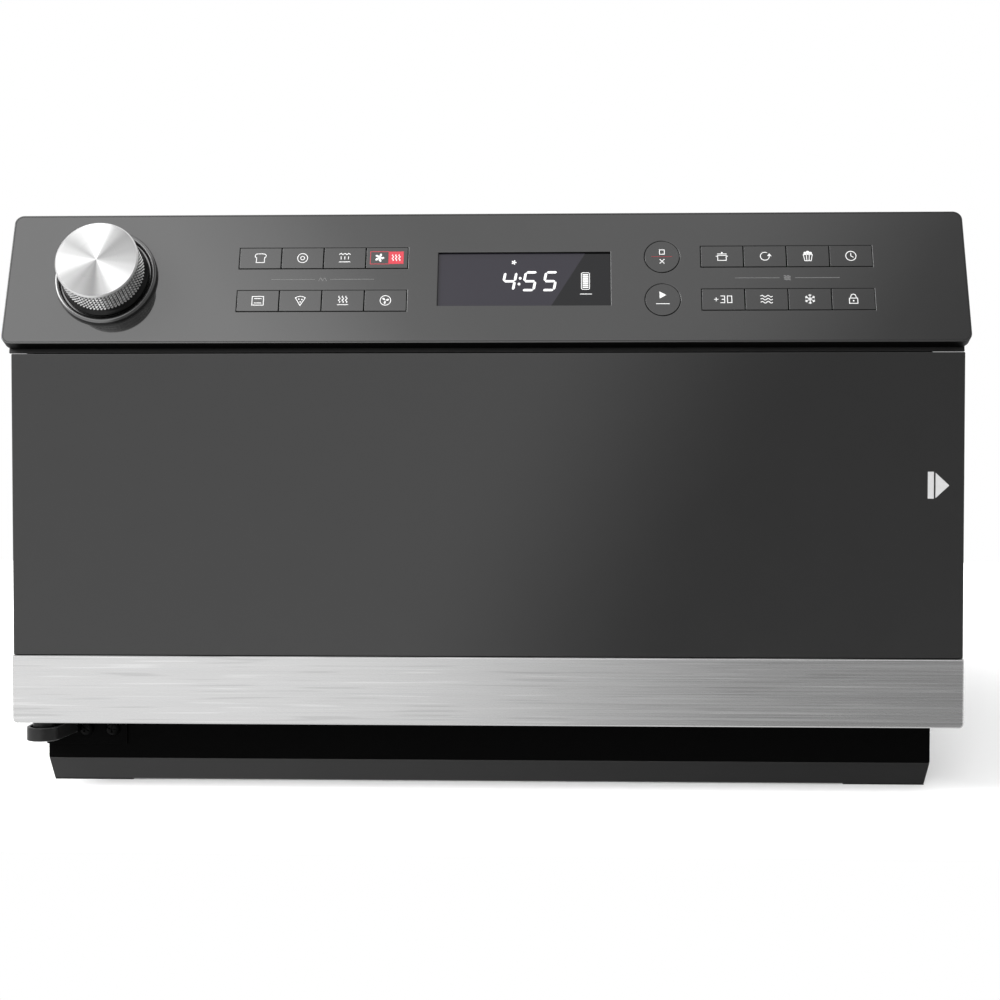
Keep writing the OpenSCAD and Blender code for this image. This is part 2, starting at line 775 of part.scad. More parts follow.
module panel_key(k) {
    flange_top = -panel_skin - slide_gap;
    plunger_end = board_top + switch_h + key_travel + 0.1;
    color("#2d2d2e")
        on_panel(k[1], k[2]) {
            if (k[3]) {
                translate([0, 0, flange_top]) cylinder(r = round_key_r, h = key_proud - flange_top);
                translate([0, 0, flange_top - flange_t]) cylinder(r = round_key_r + 1.3, h = flange_t);
            } else {
                block(key_w, key_h, key_proud - flange_top, flange_top);
                block(key_w, window_h_keys + 2, flange_t, flange_top - flange_t);
            }
            translate([0, 0, plunger_end]) cylinder(r = 2, h = flange_top - flange_t - plunger_end + 0.5);
        }
}

// ---- Dial ----

module dial_ring() {
    well_r = dial_flange_r + 0.8;
    rim = dial_ring_r - well_r;
    color("#262627")
        on_panel(dial_u, dial_v)
            difference() {
                union() {
                    cylinder(r = dial_ring_r, h = 1.8, $fn = 96);
                    // Rounded rim
                    translate([0, 0, 1.8])
                        rotate_extrude($fn = 96)
                            translate([well_r + rim / 2, 0]) circle(r = rim / 2, $fn = 32);
                }
                translate([0, 0, 1.2]) cylinder(r = well_r, h = 10, $fn = 96);
                translate([0, 0, -5]) cylinder(r = encoder_shaft_r + 1.8, h = 10);
                translate([0, 0, -10]) cylinder(r = dial_ring_r + 5, h = 10, $fn = 96);
            }
}

module dial_knob() {
    foot = 1.2 + slide_gap;
    band_low = 8.4;
    band_high = dial_h - dial_cap_t;
    band_r = dial_cap_r - 0.5;
    color("#3a3a3c")
        on_panel(dial_u, dial_v)
            difference() {
                rotate_extrude($fn = 96)
                    polygon([[0, foot], [dial_flange_r, foot], [dial_flange_r, 6.4],
                             [dial_flange_r - 0.7, 7.6], [band_r + 0.4, band_low],
                             [band_r, band_high], [0, band_high]]);
                // Hollow underside with a hub around the shaft
                translate([0, 0, foot - 1])
                    difference() {
                        cylinder(r = band_r - 3, h = band_high - 3 - foot + 1);
                        translate([0, 0, bushing_len + slide_gap - foot + 1])
                            cylinder(r = encoder_shaft_r + 3, h = band_high);
                    }
                translate([0, 0, bushing_len]) cylinder(r = encoder_shaft_r, h = shaft_top - bushing_len);
            }
}
module dial_cap() {
    color("#d8d9da")
        on_panel(dial_u, dial_v)
            rotate_extrude($fn = 96)
                polygon([[0, dial_h - dial_cap_t], [dial_cap_r, dial_h - dial_cap_t],
                         [dial_cap_r, dial_h - 0.7], [dial_cap_r - 0.7, dial_h], [0, dial_h]]);
}

module encoder_shaft() {
    bottom = board_top + 1 + slide_gap;
    color("#b9babc")
        on_panel(dial_u, dial_v, bottom)
            cylinder(r = encoder_shaft_r, h = shaft_top - bottom);
}

// ---- Door ----

module door_glass() {
    side_in = 0.5;
    color("#1d1d1f")
        box([door_left + side_in, glass_y, door_z + strip_h + slide_gap],
            [door_right - side_in, glass_y + glass_t, door_top]);
}

module door_trim() {
    color("#c9cacb")
        difference() {
            along_y(door_y, choke_y - door_y) door_outline(0, door_z, door_z + strip_h);
            along_y(door_y + strip_t, door_t)
                door_outline(strip_t, door_z + strip_t, door_z + strip_h + 10);
            // Hole for the lower hinge bushing
            translate([hinge_x, hinge_y, door_z - 1])
                cylinder(r = bushing_r + fixing_gap, h = strip_t + 2);
        }
}

module door_frame() {
    inner = strip_t + door_wall;
    front_low = door_y + strip_t;
    // Lower part that fills the steel strip, and the part behind the glass
    module body(inset, y_low, y_high, to_y) {
        along_y(y_low, to_y - y_low)
            door_outline(inset, door_z + inset, door_z + strip_h);
        along_y(y_high, to_y - y_high)
            translate([door_left + inset, door_z + strip_h - 5])
                square([door_right - door_left - 2 * inset, door_h - strip_h + 5 + strip_t - inset]);
    }
    color("#151516")
        difference() {
            union() {
                difference() {
                    body(strip_t, front_low, skin_y, choke_y);
                    // Hollow, with its outer corners left square
                    box([door_left + inner, front_low + 2, door_z + inner],
                        [door_right - inner, choke_y + 1, door_z + strip_h - door_wall]);
                    box([door_left + inner, skin_y + 2, door_z + strip_h - door_wall - 1],
                        [door_right - inner, choke_y + 1, door_top - door_wall]);
                }
                // Rim around the window, up to the inner glass
                window_rim(2, skin_y, choke_y - inner_glass_t);
                // Hinge bushings
                translate([hinge_x, hinge_y, door_z]) cylinder(r = bushing_r, h = 4);
                translate([hinge_x, hinge_y, door_z + strip_t]) cylinder(r = hinge_boss_r, h = 24);
                translate([hinge_x, hinge_y, door_top - 20]) cylinder(r = hinge_boss_r, h = 20);
                // Rails that guide the latch
                for (x = [-1, 1])
                    translate([latch_x + x * (latch_bar_w / 2 + slide_gap + 1), 0, 0])
                        box([-1, skin_y, hook_zs[0] - 20], [1, choke_y, hook_zs[1] + 26]);
            }
            window_rim(0, skin_y - 1, choke_y);
            translate([hinge_x, hinge_y, door_z - 1])
                cylinder(r = hinge_pin_r + shaft_gap, h = 1 + 22 + slide_gap);
            translate([hinge_x, hinge_y, door_top - 16 - slide_gap])
                cylinder(r = hinge_pin_r + shaft_gap, h = 20);
        }
}

// Rim of the door's window grown by an edge, between two depths
module window_rim(edge, y_low, y_high) {
    box([cavity_x - window_w / 2 - edge, y_low, cavity_mid_z - window_h / 2 - edge],
        [cavity_x + window_w / 2 + edge, y_high, cavity_mid_z + window_h / 2 + edge]);
}

module door_choke_panel() {
    color("#1c1c1d")
        difference() {
            union() {
                along_y(choke_y, choke_t)
                    door_outline(strip_t, door_z + strip_t, door_top);
                box([cavity_x - cavity_w / 2 - plug_out, choke_y, cavity_z - plug_out + 4],
                    [cavity_x + cavity_w / 2 + plug_out, door_y + door_t, cavity_z + cavity_h + 12]);
            }
            window_rim(0, choke_y - 1, choke_y + 10);
            // Slots that the latch hooks reach through
            for (z = hook_zs)
                box([latch_x - hook_t / 2 - pass_gap, choke_y - 1, z - pass_gap],
                    [latch_x + hook_t / 2 + pass_gap, choke_y + 5, z + hook_h + latch_travel + pass_gap]);
        }
}

module door_inner_glass() {
    edge = 6;
    color("#26282a")
        window_rim(edge, choke_y - inner_glass_t, choke_y);
}

module door_latch() {
    bar_y = choke_y - slide_gap - latch_bar_t;
    hook_tip = door_y + door_t + hook_reach;
    color("#d9dadb") {
        box([latch_x - latch_bar_w / 2, bar_y, hook_zs[0] - 14],
            [latch_x + latch_bar_w / 2, bar_y + latch_bar_t, hook_zs[1] + 20]);
        for (z = hook_zs)
            along_x(latch_x - hook_t / 2, hook_t)
                polygon([[bar_y + 1, z], [hook_tip - 8, z], [hook_tip - 8, z - barb_h],
                         [hook_tip - 5, z - barb_h], [hook_tip, z + 2], [hook_tip, z + hook_h - 1],
                         [hook_tip - 1, z + hook_h], [bar_y + 1, z + hook_h]]);
    }
}

module latch_switches() {
    wall_x = latch_x + 9;
    wall_end = frame_y + frame_t + 33;
    switch_w = 13;
    switch_d = 14;
    color("#e4e2dc") {
        box([wall_x, frame_y + frame_t, hook_zs[0] - 30], [wall_x + 3, wall_end, hook_zs[1] + 30]);
        for (z = hook_zs)
            box([wall_x - switch_w, wall_end - 1 - switch_d, z - 6], [wall_x, wall_end - 1, z + 14]);
    }
}

// ---- Turntable ----

module turntable_plate() {
    lug_r = 14;
    color("#c8d6d6")
        translate([cavity_x, turntable_y, plate_z]) {
            rotate_extrude($fn = 128)
                polygon([[0, 0], [plate_r - 22, 0], [plate_r, plate_rim_h - 3], [plate_r, plate_rim_h],
                         [plate_r - 4, plate_rim_h], [plate_r - 24, plate_t], [0, plate_t]]);
            // Lugs that the coupler drives
            for (a = [0, 120, 240])
                rotate(a) translate([lug_r, 0, -3]) cylinder(r = 2, h = 3.5);
        }
}

module turntable_coupler() {
    hub_low = cavity_z + 1.6;
    color("#ece9e0")
        translate([cavity_x, turntable_y, 0]) {
            difference() {
                translate([0, 0, hub_low]) cylinder(r = 18, h = plate_z - hub_low);
                for (a = [0, 120, 240])
                    rotate(a) translate([14, 0, plate_z - 3.3]) cylinder(r = 2.2, h = 5);
            }
            translate([0, 0, cavity_z - cavity_t - 11])
                cylinder(r = stem_r, h = hub_low - cavity_z + cavity_t + 12);
        }
}

module turntable_motor() {
    top = cavity_z - cavity_t;
    color("#b0b2b4")
        translate([cavity_x, turntable_y, 0])
            difference() {
                union() {
                    translate([0, 0, top - motor_h]) cylinder(r = 24.5, h = motor_h);
                    translate([0, 0, top - 1.2]) linear_extrude(1.2) round_rect(66, 14, 4);
                }
                translate([0, 0, top - 12]) cylinder(r = stem_r + shaft_gap, h = 20);
            }
}

module roller_ring() {
    pin_start = ring_r + ring_half_w;
    collar_end = roller_mid_r - roller_w / 2 - slide_gap;
    head_start = roller_mid_r + roller_w / 2 + slide_gap;
    color("#efece4")
        translate([cavity_x, turntable_y, roller_z]) {
            rotate_extrude($fn = 96)
                translate([ring_r - ring_half_w, -3]) square([2 * ring_half_w, 6]);
            for (a = [0, 120, 240])
                rotate(a) {
                    rod_x(pin_start - 1, 0, 0, 2.9, collar_end - pin_start + 1);
                    rod_x(pin_start - 1, 0, 0, roller_pin_r, head_start + 1 - pin_start + 1);
                    rod_x(head_start, 0, 0, 3, 1.5);
                }
        }
}

module roller(angle) {
    color("#f4f2ec")
        translate([cavity_x, turntable_y, roller_z])
            rotate(angle)
                difference() {
                    rod_x(roller_mid_r - roller_w / 2, 0, 0, roller_r, roller_w);
                    rod_x(roller_mid_r - roller_w, 0, 0, roller_pin_r + shaft_gap, 2 * roller_w);
                }
}

module waveguide_cover() {
    x = cavity_x + cavity_w / 2;
    color("#b9a77d")
        box([x - 0.6, guide_y - guide_w / 2 - 6, guide_z - guide_h / 2 - 6],
            [x, guide_y + guide_w / 2 + 6, guide_z + guide_h / 2 + 6]);
}

// ---- Heating and fans ----

module grill_reflector() {
    z = cavity_z + cavity_h + cavity_t;
    w = reflector_w / 2;
    d = reflector_d / 2;
    color("#c4c5c6")
        translate([cavity_x, turntable_y, z])
            difference() {
                union() {
                    block(reflector_w, reflector_d, reflector_h);
                    block(reflector_w + 20, reflector_d + 20, sheet_t);
                }
                translate([0, 0, -1])
                    block(reflector_w - 2 * sheet_t, reflector_d - 2 * sheet_t, reflector_h - sheet_t + 1);
                for (y = grill_tube_ys)
                    rod_x(-w - 1, y, reflector_h / 2, grill_cap_r + shaft_gap, reflector_w + 2);
            }
}

module grill_heater() {
    cap_len = 14;
    color("#e9e6df")
        for (y = grill_tube_ys)
            translate([cavity_x, turntable_y + y, cavity_z + cavity_h + cavity_t + reflector_h / 2]) {
                rod_x(-reflector_w / 2 + 2, 0, 0, grill_tube_r, reflector_w - 4);
                for (x = [-1, 1])
                    rod_x(x * reflector_w / 2 - cap_len / 2, 0, 0, grill_cap_r, cap_len);
            }
}

module convection_fan() {
    disc_y = cavity_back + cavity_t + fan_gap + convection_blade_d;
    blade_y = disc_y - convection_blade_d;
    bearing_end = cavity_back + bulge_d + cavity_t + fan_bearing;
    color("#a9abad") {
        rod_y(cavity_x, disc_y, cavity_mid_z, convection_fan_r, 1.2);
        rod_y(cavity_x, blade_y, cavity_mid_z, 9, convection_blade_d + 5);
        rod_y(cavity_x, disc_y, cavity_mid_z, fan_shaft_r, bearing_end - disc_y);
        for (i = [0:11])
            translate([cavity_x, blade_y, cavity_mid_z])
                rotate([0, i * 30, 0])
                    translate([20, 0, -0.6]) cube([convection_fan_r - 21, convection_blade_d + 0.5, 1.2]);
    }
}

module convection_motor() {
    y = cavity_back + bulge_d + cavity_t;
    rotor_r = 14;
    color("#8f9294")
        difference() {
            union() {
                rod_y(cavity_x, y, cavity_mid_z, rotor_r, fan_bearing + 4);
                translate([cavity_x, y + 12, cavity_mid_z])
                    cube([2 * rotor_r + 36, 16, 2 * rotor_r + 24], center = true);
                translate([cavity_x, y + 1, cavity_mid_z])
                    cube([2 * rotor_r + 62, 2, rotor_r], center = true);
            }
            rod_y(cavity_x, y - 1, cavity_mid_z, fan_shaft_r + shaft_gap, 1 + fan_bearing + slide_gap);
        }
}

module convection_heater() {
    ring_y = cavity_back + cavity_t + fan_gap + convection_blade_d / 2;
    wall_y = cavity_back + bulge_d;
    color("#6f6a66") {
        translate([cavity_x, ring_y, cavity_mid_z])
            rotate([90, 0, 0])
                rotate_extrude($fn = 96) translate([ring_heater_r, 0]) circle(heater_tube_r, $fn = 24);
        for (x = [-12, 12]) {
            rod_y(cavity_x + x, ring_y, cavity_mid_z + ring_heater_r, heater_tube_r, wall_y + 8 - ring_y);
            rod_y(cavity_x + x, wall_y - 1.5, cavity_mid_z + ring_heater_r, 6, 1.5);
        }
    }
}

module magnetron() {
    length = right_bay_w - 70.3;
    d = 72;
    h = 60;
    wall = 2;
    fins = 6;
    color("#9fa2a5")
        translate([guide_x + guide_len, guide_y, guide_z]) {
            rod_x(-16, 0, 0, antenna_r, 17);
            translate([0, -d / 2 - 10, -h / 2 - 6]) cube([wall, d + 20, h + 12]);
            rod_x(1, 0, 0, h / 2 - 9, length);
            for (i = [1:fins])
                translate([i * length / (fins + 0.5), -d / 2, -h / 2]) cube([1.2, d, h]);
            translate([length, -d / 2, -h / 2]) cube([wall, d, h]);
            translate([length + 1, -22, -16]) cube([18, 44, 32]);
            for (y = [-d / 2, d / 2 - wall]) translate([1, y, -h / 2]) cube([length, wall, h]);
        }
}

module transformer() {
    z = pan_floor + 1.2;
    core_w = right_bay_w - 42.3;
    core_d = 64;
    core_h = 62;
    coil_d = 92;
    color("#4a4c50")
        translate([bay_x, cavity_back - coil_d / 2 - 35, 0]) {
            block(core_w + 6, coil_d + 4, 2, z);
            block(core_w, core_d, core_h, z + 1);
            block(core_w - 36, coil_d, core_h - 18, z + 10);
        }
}

module cooling_fan_duct() {
    y = case_back - duct_d;
    color("#d3d2cc")
        difference() {
            translate([duct_x - duct_w / 2, y, duct_z - duct_w / 2]) cube([duct_w, duct_d, duct_w]);
            rod_y(duct_x, y - 1, duct_z, cooling_fan_r + 2, duct_d + 2);
        }
}

module cooling_fan() {
    y = case_back - duct_d + 4;
    hub_r = 13;
    hub_d = duct_d - 8;
    blades = 5;
    blade_w = hub_d + 6;
    color("#efeee9") {
        rod_y(duct_x, y, duct_z, hub_r, hub_d);
        rod_y(duct_x, y - 18, duct_z, small_shaft_r, 19);
        for (i = [0:blades - 1])
            translate([duct_x, y + hub_d / 2, duct_z])
                rotate([0, i * 360 / blades, 0])
                    rotate([28, 0, 0])
                        translate([hub_r - 3, -0.8, -blade_w / 2])
                            cube([cooling_fan_r - hub_r + 1, 1.6, blade_w]);
    }
}

module cooling_fan_motor() {
    y = case_back - duct_d;
    w = 52;
    h = 40;
    color("#8a8d90")
        difference() {
            union() {
                translate([duct_x - w / 2, y - 24, duct_z - h / 2]) cube([w, 20, h]);
                translate([duct_x - duct_w / 2 + 2, y - 5, duct_z - 6]) cube([duct_w - 4, 2, 12]);
                for (x = [-1, 1])
                    translate([duct_x + x * (duct_w / 2 - 4) - 2, y - 5, duct_z - 6]) cube([4, 5, 12]);
            }
            rod_y(duct_x, y - 15, duct_z, small_shaft_r + shaft_gap, 20);
        }
}

// ---- Drawing ----

cabinet_wrap();
base_pan();
rear_panel();
front_frame();
oven_cavity();
console_housing();
control_panel();
display_lens();
control_board();
dial_ring();
dial_knob();
dial_cap();
encoder_shaft();
door_glass();
door_trim();
door_frame();
door_choke_panel();
door_inner_glass();
door_latch();
hinge_brackets();
turntable_plate();
turntable_coupler();
roller_ring();
roller(0);  // roller_1
roller(120);  // roller_2
roller(240);  // roller_3
turntable_motor();
grill_heater();
grill_reflector();
convection_fan();
convection_motor();
convection_heater();
magnetron();
transformer();
cooling_fan();
cooling_fan_motor();
cooling_fan_duct();
waveguide_cover();
feet();
screws();
cord_gland();
latch_switches();
for (k = KEYS)
    panel_key(k);
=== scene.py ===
"""Looks of a countertop toaster oven: tilted key panel, knurled dial, glass door, steel strip."""
import json
import logging
import math
from dataclasses import dataclass
from enum import Enum
from typing import Callable, Iterable, Sequence

import bmesh
import bpy
from mathutils import Matrix, Vector

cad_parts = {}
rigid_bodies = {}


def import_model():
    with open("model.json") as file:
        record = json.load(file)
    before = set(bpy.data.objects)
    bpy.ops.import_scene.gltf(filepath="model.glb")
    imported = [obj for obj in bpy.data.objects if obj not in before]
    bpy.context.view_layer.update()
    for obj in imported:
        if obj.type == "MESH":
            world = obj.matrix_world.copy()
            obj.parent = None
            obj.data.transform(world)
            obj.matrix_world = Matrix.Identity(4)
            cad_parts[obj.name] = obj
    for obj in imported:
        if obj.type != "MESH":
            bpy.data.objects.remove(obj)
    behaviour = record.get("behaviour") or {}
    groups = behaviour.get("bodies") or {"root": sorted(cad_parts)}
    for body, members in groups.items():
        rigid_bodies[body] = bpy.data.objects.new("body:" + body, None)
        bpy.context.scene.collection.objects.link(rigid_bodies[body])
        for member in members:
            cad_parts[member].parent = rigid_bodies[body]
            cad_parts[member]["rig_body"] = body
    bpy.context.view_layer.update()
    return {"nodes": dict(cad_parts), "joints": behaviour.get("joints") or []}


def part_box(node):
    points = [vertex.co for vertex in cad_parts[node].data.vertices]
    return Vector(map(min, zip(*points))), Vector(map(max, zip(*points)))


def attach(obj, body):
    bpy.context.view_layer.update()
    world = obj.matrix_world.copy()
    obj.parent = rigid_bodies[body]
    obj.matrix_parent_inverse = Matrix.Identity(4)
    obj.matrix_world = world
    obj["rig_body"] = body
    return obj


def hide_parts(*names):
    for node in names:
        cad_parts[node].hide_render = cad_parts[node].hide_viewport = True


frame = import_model()

LOG = logging.getLogger("toaster_oven")
MM = 0.001
JOIN = 2e-6  # metres within which a CAD node's loose corners are joined
FLAT = 0.6  # degrees within which its triangles are one flat face
SHARP = 30.0  # degrees from which one of its edges is rounded
ROW_RISE = math.sqrt(3) / 2  # distance between rows of hexagons, in widths of one
MIDST = (0.3, 0.7)  # range that holds most values of a noise texture
Point = tuple[float, float]
Colour = tuple[float, float, float, float]
Span = tuple[float, float, float, float]


# ---------------------------------------------------------------- colours and node wiring

def rgb(red: float, green: float, blue: float) -> Colour:
    """Turns a screen colour into the linear one that shaders use.

    Args:
        red: Red, 0 to 255.
        green: Green, 0 to 255.
        blue: Blue, 0 to 255.

    Returns:
        The linear colour with full alpha.
    """
    parts = [value / 255 for value in (red, green, blue)]
    linear = [p / 12.92 if p <= 0.04045 else ((p + 0.055) / 1.055) ** 2.4 for p in parts]
    return (linear[0], linear[1], linear[2], 1.0)


def grey(value: float) -> Colour:
    """Returns the linear colour of a screen grey, 0 to 255."""
    return rgb(value, value, value)


class Wiring:
    """Adds nodes to one node tree and joins their sockets."""

    def __init__(self, tree: bpy.types.NodeTree) -> None:
        """Keeps the tree that the nodes go into."""
        self.tree = tree

    def feed(self, socket: bpy.types.NodeSocket, value: object) -> None:
        """Links a socket to another one, or sets its plain value."""
        if isinstance(value, bpy.types.NodeSocket):
            self.tree.links.new(value, socket)
        else:
            socket.default_value = value

    def fill(self, node: bpy.types.Node, values: dict) -> bpy.types.Node:
        """Feeds a node's inputs, by name or index, and returns the node."""
        for key, value in values.items():
            self.feed(node.inputs[key], value)
        return node

    def add(self, kind: str, inputs: dict | None = None, **settings: object) -> bpy.types.Node:
        """Adds a node.

        Args:
            kind: The node's type name.
            inputs: Values or sockets for its inputs, by name or index.
            **settings: Properties of the node itself.

        Returns:
            The new node.
        """
        node = self.tree.nodes.new(kind)
        for name, value in settings.items():
            setattr(node, name, value)
        return self.fill(node, inputs or {})

    def result(self, kind: str, inputs: dict | None = None, **settings: object
               ) -> bpy.types.NodeSocket:
        """Adds a node, as add does, and returns its first output."""
        return self.add(kind, inputs, **settings).outputs[0]

    def math(self, operation: str, first: object, second: object = 0.0,
             third: object = 0.0) -> bpy.types.NodeSocket:
        """Adds a Math node and returns the socket with its result."""
        return self.result("ShaderNodeMath", {0: first, 1: second, 2: third},
                           operation=operation)

    def blend(self, factor: object, low: object, high: object) -> bpy.types.NodeSocket:
        """Returns the value that lies between two others, low at 0 and high at 1."""
        return self.math("MULTIPLY_ADD", factor, self.math("SUBTRACT", high, low), low)

    def remap(self, value: object, low: object, high: object, to_low: object = 0.0,
              to_high: object = 1.0, kind: str = "LINEAR") -> bpy.types.NodeSocket:
        """Maps a value from one range to another, by a LINEAR or a SMOOTHSTEP kind of step."""
        return self.result("ShaderNodeMapRange", {0: value, 1: low, 2: high, 3: to_low,
                                                  4: to_high}, interpolation_type=kind)

    def ramp(self, factor: object, stops: Sequence[Point], kind: str = "LINEAR"
             ) -> bpy.types.NodeSocket:
        """Adds a grey colour ramp.

        Args:
            factor: Socket from 0 to 1.
            stops: Place and level of each stop, in rising order.
            kind: How it runs between the stops, LINEAR or EASE.

        Returns:
            The socket with the grey.
        """
        node = self.add("ShaderNodeValToRGB", {0: factor})
        node.color_ramp.interpolation = kind
        made = node.color_ramp.elements
        while len(made) < len(stops):
            made.new(0.5)
        for stop, (spot, level) in zip(made, stops):
            stop.position = spot
            stop.color = (level, level, level, 1.0)
        return node.outputs[0]

    def mix(self, factor: object, first: object, second: object) -> bpy.types.NodeSocket:
        """Mixes two colours and returns the socket with the result."""
        node = self.add("ShaderNodeMix", {0: factor, 6: first, 7: second}, data_type="RGBA")
        return node.outputs[2]

    def combine(self, operation: str, first: object, second: object) -> bpy.types.NodeSocket:
        """Joins two vectors, axis by axis, and returns the socket with the result."""
        return self.result("ShaderNodeVectorMath", {0: first, 1: second}, operation=operation)

    def vector(self, x: object = 0.0, y: object = 0.0, z: object = 0.0
               ) -> bpy.types.NodeSocket:
        """Joins three values to a vector."""
        return self.result("ShaderNodeCombineXYZ", {0: x, 1: y, 2: z})

    def axes(self, vector: object) -> bpy.types.NodeOutputs:
        """Returns a vector's X, Y and Z."""
        return self.add("ShaderNodeSeparateXYZ", {0: vector}).outputs

    def noise(self, vector: object, scale: object, detail: float = 2.0,
              roughness: float = 0.5) -> bpy.types.NodeSocket:
        """Reads a noise texture, with its scale in features for each metre, at a vector."""
        return self.result("ShaderNodeTexNoise", {"Vector": vector, "Scale": scale,
                                                  "Detail": detail, "Roughness": roughness})

    def place(self) -> bpy.types.NodeSocket:
        """Returns the object coordinates."""
        return self.add("ShaderNodeTexCoord").outputs["Object"]

    def group(self, tree: bpy.types.NodeTree, **inputs: object) -> bpy.types.Node:
        """Places a shared node group and sets its inputs by name."""
        return self.fill(self.add("ShaderNodeGroup", node_tree=tree), inputs)

    def bump(self, height: object, depth: float) -> bpy.types.NodeSocket:
        """Returns the normal of a relief from its height, 0 to 1, and its depth in metres."""
        return self.result("ShaderNodeBump", {"Strength": 1.0, "Distance": depth,
                                              "Height": height})


def bare_wiring(owner: bpy.types.Material | bpy.types.World) -> Wiring:
    """Empties the node tree of a material or a world and returns its wiring."""
    owner.use_nodes = True
    owner.node_tree.nodes.clear()
    return Wiring(owner.node_tree)


def shared_group(name: str, floats: Sequence[str], outputs: Sequence[str],
                 vectors: Sequence[str] = ("Vector",)) -> Callable:
    """Turns a builder of nodes into a shader node group that is made once.

    Args:
        name: Name of the group.
        floats: Names of its number inputs.
        outputs: Names of its value outputs.
        vectors: Names of its vector inputs, which come first.

    Returns:
        The decorator. The decorated builder takes nothing and returns the group's tree.
    """
    def wrap(build: Callable[[Wiring, dict], dict]) -> Callable[[], bpy.types.NodeTree]:
        """Wraps a builder that gets the input sockets and returns the output sockets."""
        def tree_of() -> bpy.types.NodeTree:
            """Returns the group's tree, made at the first call."""
            found = bpy.data.node_groups.get(name)
            if found:
                return found
            tree = bpy.data.node_groups.new(name, "ShaderNodeTree")
            for direction, kind, labels in (("INPUT", "Vector", vectors),
                                            ("INPUT", "Float", floats),
                                            ("OUTPUT", "Float", outputs)):
                for label in labels:
                    tree.interface.new_socket(name=label, in_out=direction,
                                              socket_type="NodeSocket" + kind)
            wiring = Wiring(tree)
            source = wiring.add("NodeGroupInput").outputs
            wiring.add("NodeGroupOutput", build(wiring, source))
            return tree
        return tree_of
    return wrap


@shared_group("brushing_streaks", ("Contrast", "Lines"), ("Tone", "Height"),
              ("Vector", "Stretch"))
def streaks_group(w: Wiring, s: dict) -> dict:
    """Draws long fine brushing lines along one axis, with single bright and dark ones."""
    coarse_scale, coarse_share, spacing = 0.17, 0.45, (2.6, 2.6, 0.55)
    bright, dark = (0.66, 0.76), (0.34, 0.24)
    stretched = w.combine("MULTIPLY", s["Vector"], s["Stretch"])
    fine = w.noise(stretched, 1.0, detail=3.0, roughness=0.65)
    coarse = w.noise(stretched, coarse_scale)
    both = w.math("MULTIPLY_ADD", coarse, coarse_share,
                  w.math("MULTIPLY", fine, 1 - coarse_share))
    tone = w.math("MULTIPLY_ADD", w.math("SUBTRACT", both, 0.5), s["Contrast"], 1.0)
    sparse = w.noise(w.combine("MULTIPLY", stretched, spacing), 1.0, detail=0.0)
    lines = w.math("SUBTRACT", w.remap(sparse, *bright), w.remap(sparse, *dark))
    return {"Tone": w.math("MULTIPLY_ADD", lines, s["Lines"], tone), "Height": fine}


@shared_group("uneven_sheen", ("Scale", "Low", "High"), ("Roughness", "Patches"))
def sheen_group(w: Wiring, s: dict) -> dict:
    """Varies roughness between two values in soft patches, as wiped surfaces do."""
    patches = w.noise(s["Vector"], s["Scale"], detail=4.0, roughness=0.6)
    return {"Roughness": w.remap(patches, *MIDST, s["Low"], s["High"]), "Patches": patches}


@shared_group("pebbled_grain", ("Scale",), ("Height", "Speckle"))
def grain_group(w: Wiring, s: dict) -> dict:
    """Draws the pebbled relief of texture paint and moulded plastic."""
    fine_scale, cell_share, speckle = 2.3, 0.6, (0.42, 0.62)
    cells = w.result("ShaderNodeTexVoronoi", {"Vector": s["Vector"], "Scale": s["Scale"]})
    fine = w.noise(s["Vector"], w.math("MULTIPLY", s["Scale"], fine_scale), roughness=0.6)
    height = w.math("MULTIPLY_ADD", cells, cell_share, w.math("MULTIPLY", fine, 1 - cell_share))
    return {"Height": height, "Speckle": w.remap(fine, *speckle)}


@shared_group("worn_and_highlit_edges", ("Radius", "Amount"), ("Mask",))
def edge_wear_and_highlight_group(w: Wiring, s: dict) -> dict:
    """Finds outer edges, where a coat is worn thin and a painted highlight lightens it, and breaks
    them up.
    """
    untouched, worn, patch_scale, patchy = 0.995, 0.86, 160.0, (0.35, 0.75, 0.35, 1.0)
    rounded_normal = w.result("ShaderNodeBevel", {"Radius": s["Radius"]}, samples=4)
    plain = w.add("ShaderNodeNewGeometry").outputs["Normal"]
    facing = w.add("ShaderNodeVectorMath", {0: rounded_normal, 1: plain},
                   operation="DOT_PRODUCT").outputs["Value"]
    edge = w.remap(facing, untouched, worn)
    worn_and_highlit = w.remap(w.noise(s["Vector"], patch_scale, detail=4.0, roughness=0.65), *patchy)
    return {"Mask": w.math("MULTIPLY", w.math("MULTIPLY", edge, worn_and_highlit), s["Amount"])}


# ---------------------------------------------------------------- finishes

